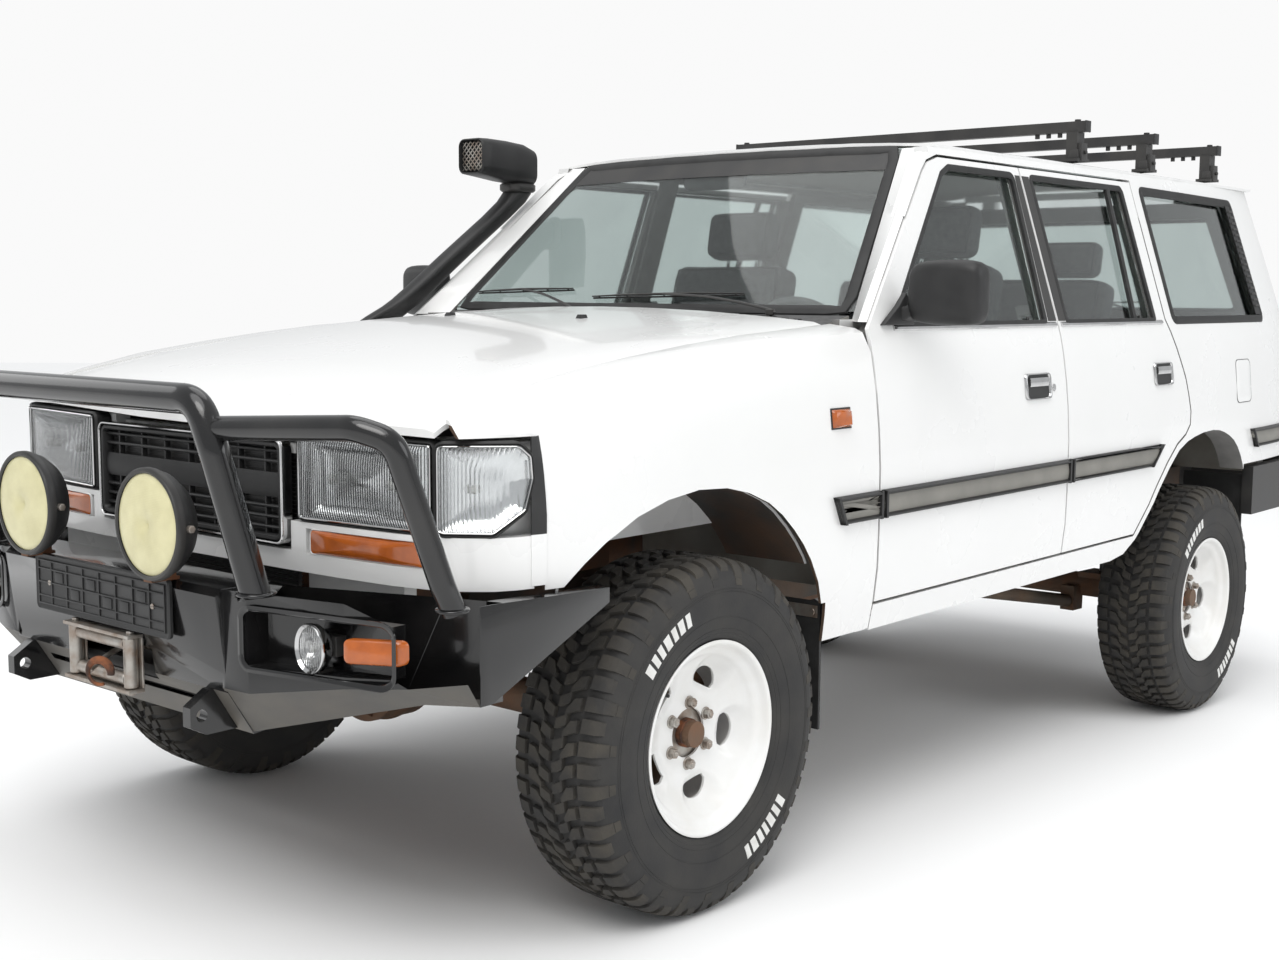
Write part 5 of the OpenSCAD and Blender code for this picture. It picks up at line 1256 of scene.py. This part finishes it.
edge = [(u / 20, 0.015) for u in range(-19, 20)] + [(0.965, v / 12) for v in range(1, 12)] + \
       [(u / 20, 0.985) for u in range(19, -20, -1)] + [(-0.965, v / 12) for v in range(11, 0, -1)]
rows = []
for i, (u, v) in enumerate(edge):
    p = on_screen(u, v)
    q = on_screen(*edge[(i + 1) % len(edge)]) - on_screen(*edge[i - 1])
    side_dir = q.normalized().cross(SCREEN_OUT)
    rows.append([p + side_dir * w + SCREEN_OUT * h for w,
                 h in ((-13, -3), (-13, 1), (-8, 4.5), (6, 4.5), (20, 2.5), (22, -3))])
piece("screen_rubber", *hoop_of(rows), SEAL, angle=50)
band = [[on_screen(u / 12 * 0.955, v, 0.8) for u in range(-12, 13)] for v in (0.86, 0.9, 0.94, 0.972)]
piece("screen_band", *grid(band), SATIN, thick=0.6)


def wiper(name, pivot_u, tip_u, tip_v, blade_half):
    """Arm with its boss, and a blade with its spine and clips, laid on the windscreen."""
    base = on_screen(pivot_u, 0.0, 16) + Vector((0, -42, -8))
    tip = on_screen(tip_u, tip_v, 15)
    mid = base.lerp(tip, 0.5) + Vector((0, -6, 10))
    arm = tube(smooth_path([base + Vector((0, 2, -16)), base, mid, tip], 6), 4.2, 10, squash=0.6)
    boss = moved(disc(-4, 12, 13, 24, 2), Matrix.Translation(base + Vector((0, 0, -10))) @ UPRIGHT)
    blade, spine = [], []
    for k in range(21):
        s = -1 + 2 * k / 20
        uu = tip_u + s * blade_half
        vv = tip_v + s * 0.012
        blade.append(on_screen(uu, vv, 3))
        spine.append(on_screen(uu, vv, 10 + 4 * (1 - s * s)))
    piece(name + "_arm", *merge(arm, boss), SATIN, angle=40)
    piece(name + "_blade", *merge(tube(blade, 2.6, 8),
                                  tube(spine, [2.0 + 1.8 * (1 - abs(-1 + 2 * k / 20)) for k in range(21)], 8),
          *[tube([spine[k], blade[k]], 2.2, 8) for k in (1, 5, 10, 15, 19)]), SATIN, angle=40)


wiper("wiper_right", -0.20, -0.62, 0.10, 0.30)
wiper("wiper_left", 0.72, 0.18, 0.075, 0.36)
z = skin_z(246, 304)
nozzle = merge(block((235, 292, z - 2), (257, 318, z + 9), 4),
               moved(disc(0, 4, 3, 12, 0.8), shift(246, 318, z + 6) @ Matrix.Rotation(pi / 2, 4, "Z")))
both_sides("washer_nozzle", nozzle, PLASTIC, "bonnet", bevel=1)
fins = []
for k in range(34):
    x = -640 + 1280 * k / 33
    if abs(abs(x) - 150) < 14:
        continue
    z = skin_z(x, 700)
    fins.append(block((x - 11, 678, z - 0.5), (x + 11, 686, z + 2.2), 0.8))
    fins.append(block((x - 11, 694, z + 0.5), (x + 11, 702, z + 3.2), 0.8))
piece("cowl_slots", *merge(*fins), PLASTIC)


# ---- cabin: padded seats with piping, door cards, wheel, dashboard ----
def cushion(center, size, tilt, puff, seams=(), cross=(), r=34, n=18):
    """Stuffed block with a bulged top, sunk stitched seams and rounded sides."""
    half = Vector(size) / 2
    turn = Matrix.Translation(center) @ Matrix.Rotation(radians(tilt), 4, "X")
    verts, faces = [], []

    def place(p):
        full = Vector((p.x * half.x, p.y * half.y, p.z * half.z))
        rr = min(r, half.z * 0.9)
        inner = Vector([max(-(h - rr), min(h - rr, c)) for c, h in zip(full, half)])
        d = full - inner
        q = inner + (d.normalized() * rr if d.length > 1e-6 else d)
        u, v = p.x, p.y
        q.z += (1 if p.z > 0.5 else 0) * puff * max(0, 1 - u * u) ** 0.5 * max(0, 1 - v * v) ** 0.5
        if p.z > 0.5:
            for s in seams:
                q.z -= 9 * math.exp(-((u - s) * half.x / 9) ** 2)
                if abs(u) > abs(s) and s * u > 0:
                    q.z += 9 * math.exp(-((abs(u) - 0.84) * half.x / 34) ** 2)
            for s in cross:
                if abs(u) < 0.66:
                    q.z -= 6 * math.exp(-((v - s) * half.y / 8) ** 2)
        q.x += 5 * sin(7 * v + 3 * u) * (1 - abs(u)) * 0.15
        return turn @ q
    for axis in range(3):
        for s in (1, -1):
            base = len(verts)
            for i in range(n + 1):
                for j in range(n + 1):
                    a, b = -1 + 2 * i / n, -1 + 2 * j / n
                    p = [0, 0, 0]
                    p[axis], p[(axis + 1) % 3], p[(axis + 2) % 3] = s, a, b
                    verts.append(place(Vector(p)))
            for i in range(n):
                for j in range(n):
                    k = base + i * (n + 1) + j
                    faces.append((k, k + 1, k + n + 2, k + n + 1))
    rim = []
    for k in range(72):
        t = 2 * pi * k / 72
        c, s = cos(t), sin(t)
        f = 0.955 / max(abs(c), abs(s)) if max(abs(c), abs(s)) > 0 else 1
        u = max(-0.95, min(0.95, c * f))
        v = max(-0.95, min(0.95, s * f))
        rim.append(place(Vector((u, v, 1))) + (turn.to_3x3() @ Vector((0, 0, 1))) * 1.2)
    return (verts, faces), tube(rim, 3.4, 8, closed=True)


def seat_piece(stem, center, size, tilt, puff, seams, cross):
    """A padded cushion and its piping."""
    body, cord = cushion(center, size, tilt, puff, seams, cross)
    pad = piece(stem, *body, CLOTH, sub=1, angle=0, slot="seat_cloth", stands_for="seats")
    piece(stem + "_piping", *cord, PIPING, angle=0, stands_for="seats")


for side in SIDES:
    t = "_" + SIDE_NAME[side]
    x = side * 390
    seat_piece("seat_cushion" + t, (x, 1405, 900), (500, 465, 140), 4, 22, (-0.62, 0.62), (-0.25, 0.3))
    seat_piece("seat_back" + t, (x, 1735, 1195), (470, 560, 110), 76, 20, (-0.62, 0.62), (-0.45, 0.0, 0.45))
    seat_piece("headrest" + t, (x, 1836, 1578), (268, 165, 84), 80, 14, (), ())
    posts = [tube([(x + dx, 1822, 1440), (x + dx, 1838, 1560)], 6, 12) for dx in (-62, 62)]
    base = [block((x - 205, 1230, 664), (x + 205, 1610, 700)),
            block((x - 215, 1215, 700), (x - 190, 1620, 835)),
            block((x + 190, 1215, 700), (x + 215, 1620, 835)),
            block((x - 190, 1240, 815), (x + 190, 1600, 835)),
            moved(disc(-238, -222, 34, 24, 2), shift(x, 1650, 905)),
            moved(disc(222, 238, 34, 24, 2), shift(x, 1650, 905))]
    piece("headrest_posts" + t, *merge(*posts), CHROME, angle=0, stands_for="seats")
    piece("seat_base" + t, *merge(*base), SATIN, bevel=3, stands_for="seats")
seat_piece("bench_cushion", (0, 2350, 950), (1150, 460, 130), 4, 20, (-0.36, 0.36), (-0.1,))
seat_piece("bench_back", (0, 2690, 1190), (1130, 500, 105), 76, 18, (-0.36, 0.36), (-0.3, 0.3))
piece("bench_base", *block((-540, 2160, 861), (540, 2520, 888)), SATIN, bevel=4, stands_for="seats")
for k, x in enumerate((-380, 380)):
    seat_piece("rear_headrest_%d" % k, (x, 2772, 1508), (250, 130, 78), 80, 12, (), ())

# steering wheel: the CAD ring and spokes get a padded boss and stalks; dash gets hood, vents and trim
WHEEL_AT = shift(380, 1130, 1190) @ Matrix.Rotation(radians(-65), 4, "X")
boss = [[(a * f, b * f, z) for a, b in rounded(150, 118, 34, 5)] for f,
        z in ((1, 2), (1, 22), (0.93, 32), (0.6, 37), (0.05, 39))]
piece("wheel_boss", *moved(loft(boss), WHEEL_AT), CABIN, body="steering_wheel", angle=50)
stalks = merge(tube([(330, 1075, 1170), (200, 1082, 1190)], [7, 5], 10),
               tube([(430, 1075, 1170), (556, 1082, 1190)], [7, 5], 10))
piece("column_stalks", *stalks, CABIN, angle=40)
hood = [[(x, y, z) for x, y, z in ((px, 985, 1246), (px, 960, 1256 + h), (px, 900, 1262 + h), (px, 830, 1258))]
        for px, h in ((190, 0), (230, 26), (300, 40), (380, 44), (460, 40), (530, 26), (570, 0))]
piece("dial_hood", *grid(hood), CABIN, thick=6, angle=50)
vents = []
for x in (-640, -560, -60, 60, 640):
    vents.append(block((x - 38, 1003, 1196), (x + 38, 1014, 1232)))
    vents += [block((x - 34, 1012, z), (x + 34, 1019, z + 3)) for z in (1202, 1210, 1218, 1225)]
piece("dash_vents", *merge(*vents), PLASTIC, bevel=1)
piece("grab_bar", *merge(tube(smooth_path([(-560, 1004, 1150), (-545, 1040, 1158), (-400, 1046, 1160),
                                           (-255, 1040, 1158), (-240, 1004, 1150)], 6), 11, 12)),
      CABIN, angle=0)
piece("gear_levers", *merge(tube([(20, 1010, 850), (10, 1060, 1000), (10, 1075, 1040)], [9, 7, 7], 12),
      moved(disc(-22, 22, 20, 24, 8), shift(10, 1078, 1058) @ UPRIGHT),
      tube([(90, 1040, 830), (92, 1075, 950)], [8, 7], 12),
      moved(disc(-18, 18, 16, 24, 7), shift(92, 1078, 962) @ UPRIGHT)), SATIN, angle=40)
glass_back = rounded(232, 62, 22, 6)
back = [[(x * f, 1178 - y, 1722 + z * f) for x, z in glass_back] for y, f in
        ((0, 0.97), (4, 1.0), (16, 1.0), (26, 0.8), (30, 0.1))]
piece("inner_mirror", *loft(back), CABIN, angle=50)
piece("inner_mirror_stem", *tube([(0, 1165, 1730), (0, 1196, 1765), (0, 1206, 1786)], [8, 7, 12], 12), CABIN,
      angle=0)

# door cards: armrest, pocket, winder and sill button
for stem, body, a, b in (("front", "door_front_", 830, 1660), ("rear", "door_rear_", 1830, 2440)):
    mid = (a + b) / 2
    def inside(y, z):
        return skin_x(y, z) - 89
    x = min(inside(mid, 1000), inside(mid, 1180)) - 2
    rest = [[(x - o, y, z) for o, z in ((0, 1010), (52, 1024), (60, 1046), (52, 1062), (0, 1070))] for y in
            (mid - 150, mid - 90, mid, mid + 120, mid + 180)]
    both_sides("armrest_" + stem, loft(rest), CABIN, body, sub=1, angle=0)
    pull = smooth_path([(x - 2, mid - 40, 1110), (x - 30, mid - 34, 1116), (x - 34, mid + 60, 1122),
                        (x - 30, mid + 150, 1128), (x - 2, mid + 156, 1134)], 5)
    both_sides("door_pull_" + stem, tube(pull, 9, 12), CABIN, body, angle=0)
    wind = merge(moved(disc(-14, 2, 24, 24, 3), shift(x, mid + 110, 940)),
                 tube([(x - 14, mid + 110, 940), (x - 20, mid + 40, 905)], [7, 6], 10),
                 moved(disc(-44, -18, 11, 20, 4), shift(x, mid + 40, 905)))
    both_sides("winder_" + stem, wind, CABIN, body, angle=40)
    pocket = [[(x - o, y, z) for o, z in ((0, 720), (26, 724), (34, 800), (30, 806), (24, 800), (4, 740))]
              for y in (mid - 250, mid, mid + 250)]
    both_sides("door_pocket_" + stem, loft(pocket), CABIN, body, angle=40)
    both_sides("sill_button_" + stem, moved(disc(0, 26, 5, 12, 1.5), shift(x + 46, b - 80, 1292) @ UPRIGHT),
               SATIN, body)


# ---- mirrors ----
case_rings = []
for x, dy, dz, w, h in ((878, -4, -2, 44, 96), (886, 0, 0, 74, 144), (925, 4, 1, 86, 162), (985, 8, 1, 88, 166),
                        (1044, 13, 0, 84, 164), (1069, 16, -1, 72, 150), (1078, 18, -2, 42, 112)):
    case_rings.append([(x, 868 + dy + a * 0.5 * w / 44, 1386 + dz + b) for a,
                       b in rounded(84, h, min(30, h / 2 - 2), 5)])
mirror = partial(both_sides, body="door_front_", stands_for="mirror_")
mirror("mirror_case", loft(case_rings), PLASTIC, sub=1, angle=0, slot="dark_plastic")
face = [[(980 + a * f, 868 + 44 + y + (a * f) * 0.10, 1389 + b * f) for a, b in rounded(158, 132, 20, 5)]
        for y, f in ((2, 1.0), (3.5, 0.99), (3.5, 0.05))]
mirror("mirror_pane", loft(face), MIRROR_GLASS, angle=30)
arm = [[(x, y + a, z + b) for a, b in rounded(w, h, 9, 4)] for x, y, z, w, h in
       ((858, 862, 1332, 62, 44), (874, 860, 1334, 50, 36), (892, 862, 1346, 44, 34), (912, 866, 1356, 40, 40))]
mirror("mirror_arm", loft(arm), PLASTIC, angle=50)
sail = prism([(752, 1303), (902, 1303), (888, 1350), (858, 1388), (820, 1352)], 852, 868, 2)
mirror("mirror_sail", sail, PLASTIC, bevel=3)

# ---- snorkel on the right wing ----
snorkel = partial(piece, side=-1, stands_for="snorkel")
SN = [(1112, 905, 465, 34, 250), (1160, 906, 492, 36, 230), (1225, 904, 535, 40, 206),
      (1286, 898, 592, 46, 146),
      (1320, 866, 628, 62, 124), (1345, 838, 658, 68, 112), (1440, 812, 764, 72, 102),
      (1560, 772, 900, 72, 100),
      (1690, 726, 1054, 72, 98), (1722, 725, 1046, 80, 108)]
rows = [[(x + a, y + b, z) for a, b in rounded(w, d, min(w, d) * 0.46, 5)] for z, x, y, w, d in SN]
snorkel("snorkel_duct", *loft(rows), PLASTIC, sub=1, angle=0, slot="dark_plastic")
head = []
for y, zc, w, h, r in ((1094, 1780, 60, 70, 22), (1086, 1786, 96, 116, 34), (1040, 1794, 112, 128, 40),
                       (960, 1800, 114, 128, 38),
                       (880, 1806, 114, 118, 30), (836, 1808, 114, 110, 24), (832, 1808, 106, 102, 22),
                       (846, 1808, 102, 98, 22), (872, 1808, 100, 96, 22)):
    head.append([(719 + a, y, zc + b) for a, b in rounded(w, h, r, 5)])
snorkel("snorkel_head", *loft(head), PLASTIC, angle=45)
neck = [[(722 + a, 1046 + b, z) for a, b in rounded(w, d, 30, 5)] for z, w,
        d in ((1706, 76, 104), (1712, 86, 114), (1728, 86, 114), (1734, 76, 104))]
snorkel("snorkel_clamp", *loft(neck), SATIN, angle=40)
mesh_parts = []
for k in range(-5, 6):
    for s in (1, -1):
        pts = []
        for q in range(-14, 15):
            x, z = q * 4.0, s * q * 4.0 + k * 18
            if abs(x) < 48 and abs(z) < 47:
                pts.append((719 + x, 842 + (1.6 if s > 0 else 0), 1808 + z))
        if len(pts) > 1:
            mesh_parts.append(tube([pts[0], pts[-1]], 2.0, 6))
snorkel("snorkel_mesh", *merge(*mesh_parts), STEEL, angle=0)
foot = prism([(338, 1108), (592, 1108), (636, 1228), (660, 1290), (520, 1290), (430, 1228)], 882, 905, 3)
snorkel("snorkel_foot", *foot, PLASTIC, bevel=6)

# ---- roof bars and flap fittings ----
for k, y in enumerate((2215, 2755, 3330)):
    for side in SIDES:
        t = "_%d_%s" % (k, SIDE_NAME[side])
        piece("bar_cap" + t, *block((700, y - 18.5, 1905.5), (706, y + 18.5, 1942.5)), PLASTIC, side=side,
              bevel=2)
        z = skin_z(640, y)
        clamp = merge(block((652, y - 30, z + 12), (688, y + 30, z + 40), 4),
                      moved(disc(0, 7, 10, 20, 1), shift(668, y, 1941) @ UPRIGHT),
                      block((676, y - 22, z + 2), (696, y + 22, z + 60), 2),
                      moved(hex_nut(0, 7, 7, 0, 0), shift(696, y, z + 30)))
        piece("bar_clamp" + t, *clamp, SATIN, side=side, bevel=1.5)
        under = [block((x, y - 4, 1893), (x + 14, y + 4, 1908)) for x in (520, 560, 600)]
        piece("bar_studs" + t, *merge(*under), SATIN, side=side, bevel=1)
bolts = [moved(disc(0, 4, 9, 20, 1), shift(x, 481.5, 610) @ FACING) for x in (700, 780, 850)]
both_sides("flap_bolts", merge(*bolts), STEEL)
both_sides("flap_strip", block((668, 479, 596), (866, 482, 626)), STEEL, bevel=0.8)


# ---- seams between nose and wings ----
for stem, z0, z1, mat in (("nose_seam_low", 811, 912, WHITE), ("nose_seam_lamp", 912, 1103, PLASTIC)):
    rows = []
    for k in range(6):
        z = z0 + (z1 - z0) * k / 5
        a, b = 873.5, skin_x(-478, z)
        rows.append([(a - 1, -519, z), (a + (b - a) * 0.5 + 0.5, -501, z), (b - 0.5, -484, z)])
    both_sides(stem, grid(rows), mat, thick=3, angle=60)

# ---- tail: lamps, handle, blank plate, wiper ----
REAR_TREE = tree_of(["tail_lamps", "tailgate", "liftgate", "body_sides", "liftgate_glass", "rear_bumper"])


def back_y(x, z):
    """y of the rear skin."""
    hit = REAR_TREE.ray_cast(Vector((x, 4400, z)), Vector((0, -1, 0)))[0]
    return hit.y if hit is not None else 3800


def on_back(outline_rows, out, thick_back=4):
    """Closed form on the rear over rows of (x, z, height off the skin)."""
    face = [[(x, back_y(x, z) + h * out, z) for x, z, h in row] for row in outline_rows]
    rear = [[(x, back_y(x, z) - thick_back, z) for x, z, h in row] for row in outline_rows]
    return slab(face, rear)


x0 = min(abs(v.co.x) for v in NODES["tail_lamps"].data.vertices) * 1000 + 6
x1 = max(abs(v.co.x) for v in NODES["tail_lamps"].data.vertices) * 1000 - 14
for stem, z0, z1, mat in (("amber", 1022, 1120, AMBER), ("clear", 962, 1018, RIBBED), ("red", 812, 958, RED)):
    rows = []
    for k in range(9):
        z = z0 + (z1 - z0) * k / 8
        e = 0.35 if k in (0, 8) else 1
        rows.append([(x0 + (x1 - x0) * j / 8, z, (0.35 if j in (0, 8) else 1) * e) for j in range(9)])
    both_sides("tail_lens_" + stem, on_back(rows, 7, -0.4), mat, angle=60)
    ribs = [block((x0 + 8, back_y(x0 + 20, z) + 6, z), (x1 - 8, back_y(x0 + 20, z) + 8.5, z + 1.6), 0.4)
            for z in range(z0 + 10, z1 - 8, 12)]
    both_sides("tail_ribs_" + stem, merge(*ribs), mat, "body")

y = back_y(0, 980)
plate_rows = [[(x, 905 + z, h) for x, h in zip((-262, -256, 0, 256, 262), (0.4, 1, 1, 1, 0.4))]
              for z in (-60, -54, 0, 54, 60)]
piece("rear_plate", *on_back(plate_rows, 7), PLASTIC, body="tailgate", angle=50)
bar = [[(x, back_y(x, 1010) + o, z) for o, z in ((0, 992), (16, 994), (22, 1008), (18, 1026), (0, 1030))]
       for x in (-170, -160, -80, 0, 80, 160, 170)]
piece("tailgate_handle", *loft(bar), PLASTIC, body="tailgate", sub=1, angle=0)
for k, x in enumerate((-90, 90)):
    piece("plate_lamp_%d" % k, *block((x - 26, back_y(x, 976) + 2, 972), (x + 26, back_y(x, 976) + 16, 986), 3),
          LENS, body="tailgate", bevel=1.5)
gate_hinge = [moved(disc(x - 26, x + 26, 11, 20, 2), shift(0, back_y(x, 800) + 4, 790)) for x in (-510, 510)]
piece("tailgate_hinge_caps", *merge(*gate_hinge), WHITE, body="tailgate", angle=40)


def glass_rear(x, z, out):
    """Point off the rear skin."""
    return Vector((x, back_y(x, z) + out, z))


park = [glass_rear(x, 1352 + 0.02 * abs(x), 9) for x in range(-220, 221, 40)]
arm = smooth_path([glass_rear(250, 1278, 8), glass_rear(248, 1284, 26), glass_rear(120, 1340, 22),
                   glass_rear(20, 1354, 18)], 6)
piece("rear_wiper", *merge(tube(park, 3.2, 8), tube([p + Vector((0, 8, 0)) for p in park], 2.6, 8),
                           tube(arm, 5, 10),
      moved(moved(disc(-2, 26, 15, 24, 3), Matrix.Rotation(pi / 2, 4, "Z")),
            Matrix.Translation(glass_rear(250, 1278, 2)))), SATIN, body="liftgate", angle=40)
ring = []


def glass_half(z):
    """Half width of the liftgate's glass near a height."""
    points = [TO_BODY @ v.co for v in NODES["liftgate_glass"].data.vertices]
    return max(abs(p.x) for p in points if abs(p.z - z) < 60)


corners = [(s * glass_half(z), z, 0) for s, z in ((-1, 1320), (1, 1320), (1, 1690), (-1, 1690))]
pts = [(p.x, p.y) for p in bend(corners, 34, 5, closed=True)]
pts = dense(pts, 70, closed=True)
for i, (x, z) in enumerate(pts):
    a, b = pts[i - 1], pts[(i + 1) % len(pts)]
    dx, dz = b[0] - a[0], b[1] - a[1]
    d = hypot(dx, dz) or 1
    nx, nz = dz / d, -dx / d
    if nx * x + nz * (z - 1505) < 0:
        nx, nz = -nx, -nz
    yy = back_y(x + nx * 9, z + nz * 9)
    ring.append([(x + nx * w, yy + h, z + nz * w) for w,
                 h in ((-14, -12), (-14, 1), (-9, 3.5), (6, 3.5), (11, 0.6), (11, -4))])
piece("liftgate_rubber", *hoop_of(ring), SEAL, body="liftgate", angle=50)

# ---- engine bay: covers on the block, battery, air box, radiator ----
elo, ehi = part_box("engine_block")
ELO, EHI = TO_BODY @ Vector(elo), TO_BODY @ Vector(ehi)
top, ex = max(ELO.z, EHI.z) - 6, (ELO.x + EHI.x) / 2
y0, y1 = min(ELO.y, EHI.y) + 60, max(ELO.y, EHI.y) - 60
cover = [[(ex + a * f, (y0 + y1) / 2 + b * f2, z) for a, b in rounded(150, y1 - y0, 38, 6)]
         for f, f2, z in ((1, 1, top - 10), (1, 1, top + 20), (0.94, 0.985, top + 32), (0.7, 0.94, top + 38),
                          (0.02, 0.02, top + 39))]
ribs = [block((ex - 60, y, top + 34), (ex + 60, y + 6, top + 42), 2)
        for y in range(int(y0) + 60, int(y1) - 40, 70)]
cap = moved(merge(disc(30, 58, 26, 24, 4), disc(56, 66, 17, 6, 2)), shift(ex - 10, y0 + 110, top) @ UPRIGHT)
piece("rocker_cover", *merge(loft(cover), *ribs, cap), EXHAUST, angle=40)
battery = merge(block((330, -350, 930), (560, -170, 1090)), block((334, -346, 1088), (556, -174, 1104), 3),
                moved(disc(0, 18, 9, 20, 1.5), shift(370, -200, 1102) @ UPRIGHT),
                moved(disc(0, 18, 9, 20, 1.5), shift(520, -200, 1102) @ UPRIGHT))
tray = merge(block((316, -364, 916), (574, -156, 932)), block((316, -364, 930), (322, -156, 960)),
             block((568, -364, 930), (574, -156, 960)),
             block((560, -300, 880), (640, -220, 918)))
piece("battery", *battery, PLASTIC, bevel=3)
piece("battery_tray", *tray, CHASSIS, bevel=1.5)
air = moved(merge(lathe([(0, 0.02), (0, 108), (10, 116), (20, 114), (130, 114), (138, 120), (150, 118),
                         (162, 96), (170, 40), (170, 0.02)], 48)), shift(-430, -180, 940) @ UPRIGHT)
duct = tube(smooth_path([(-430, -180, 1098), (-380, -120, 1128), (-240, -60, 1130), (-120, -40, 1090)], 6), 38,
            20)
piece("air_cleaner", *merge(air, duct), SATIN, angle=50)
hose = tube(smooth_path([(180, -600, 1030), (150, -520, 1060), (90, -430, 1040), (60, -380, 1010)], 6), 22, 16)
hose2 = tube(smooth_path([(-430, -70, 1010), (-520, 60, 1020), (-560, 240, 1060)], 6), 30, 16)
piece("bay_hoses", *merge(hose, hose2), SEAL, angle=0)
fins = [block((-322, -664, z), (322, -644, z + 1.5)) for z in range(700, 1034, 9)]
tank = merge(block((-330, -668, 1034), (330, -636, 1066), 5), block((-330, -668, 690), (330, -640, 704), 3))
piece("radiator_core", *merge(*fins, tank, block((-324, -658, 700), (324, -650, 1040))), SATIN)


# ---- floor, light and camera ----
FLOOR = shader("floor", (0.90, 0.90, 0.90), 0.85, other=(0.885, 0.885, 0.883), scale=0.35, sharp=0.5, bump=0.02,
               grain=60)
floor_mesh = bpy.data.meshes.new("floor")
floor_mesh.from_pydata([(-40, -40, 0), (40, -40, 0), (40, 40, 0), (-40, 40, 0)], [], [(0, 1, 2, 3)])
floor = new_object("floor", floor_mesh)
floor_mesh.materials.append(FLOOR)
for name, place, aim, size, power, color in (
        ("light_key", (3.5, -6.5, 6.5), (0, -0.6, 0.6), 4.5, 200, (1, 0.985, 0.96)),
        ("light_side", (7.5, 2.5, 4.5), (0, 0.4, 0.8), 5.0, 125, (0.97, 0.985, 1)),
        ("light_top", (-1.5, 1.0, 8.0), (0, 0, 0.5), 6.0, 110, (1, 1, 1)),
        ("light_far", (-7.0, -3.5, 4.0), (0, -0.5, 0.8), 5.0, 70, (1, 1, 1))):
    lamp = bpy.data.lights.new(name, "AREA")
    lamp.shape = "DISK"
    lamp.size = size
    lamp.energy = power
    lamp.color = color
    obj = bpy.data.objects.new(name, lamp)
    obj.location = place
    obj.rotation_euler = (Vector(aim) - Vector(place)).to_track_quat("-Z", "Y").to_euler()
    bpy.context.scene.collection.objects.link(obj)
sun = bpy.data.lights.new("light_sun", "SUN")
sun.energy = 1.3
sun.angle = radians(50)
obj = bpy.data.objects.new("light_sun", sun)
obj.rotation_euler = (-Vector((2, -3, 8))).to_track_quat("-Z", "Y").to_euler()
bpy.context.scene.collection.objects.link(obj)
world = bpy.context.scene.world or bpy.data.worlds.new("world")
bpy.context.scene.world = world
world.use_nodes = True
sky = world.node_tree.nodes["Background"]
seen = world.node_tree.nodes.new("ShaderNodeLightPath")
sky_mix = world.node_tree.nodes.new("ShaderNodeMix")
sky_mix.data_type = "RGBA"
sky_mix.inputs["A"].default_value = (0.64, 0.65, 0.66, 1)
sky_mix.inputs["B"].default_value = (0.955, 0.955, 0.955, 1)
world.node_tree.links.new(seen.outputs["Is Camera Ray"], sky_mix.inputs["Factor"])
world.node_tree.links.new(sky_mix.outputs["Result"], sky.inputs["Color"])
sky.inputs["Strength"].default_value = 1.0

camera = bpy.data.cameras.new("camera")
camera.lens = 45.148
camera.sensor_width = 36
camera.clip_end = 200
eye = bpy.data.objects.new("camera", camera)
yaw, pitch, roll = radians(40.45), radians(-5.21), radians(1.54)
look = Vector((-sin(yaw) * cos(pitch), cos(yaw) * cos(pitch), sin(pitch)))
right = look.cross(Vector((0, 0, 1))).normalized()
above = right.cross(look)
cam_x = right * cos(roll) + above * sin(roll)
cam_y = above * cos(roll) - right * sin(roll)
turn = Matrix((cam_x, cam_y, -look)).transposed().to_4x4()
eye.matrix_world = shift(3.038, -4.2076, 1.290) @ turn
bpy.context.scene.collection.objects.link(eye)
bpy.context.scene.camera = eye
view = bpy.context.scene.view_settings
view.view_transform = "Standard"
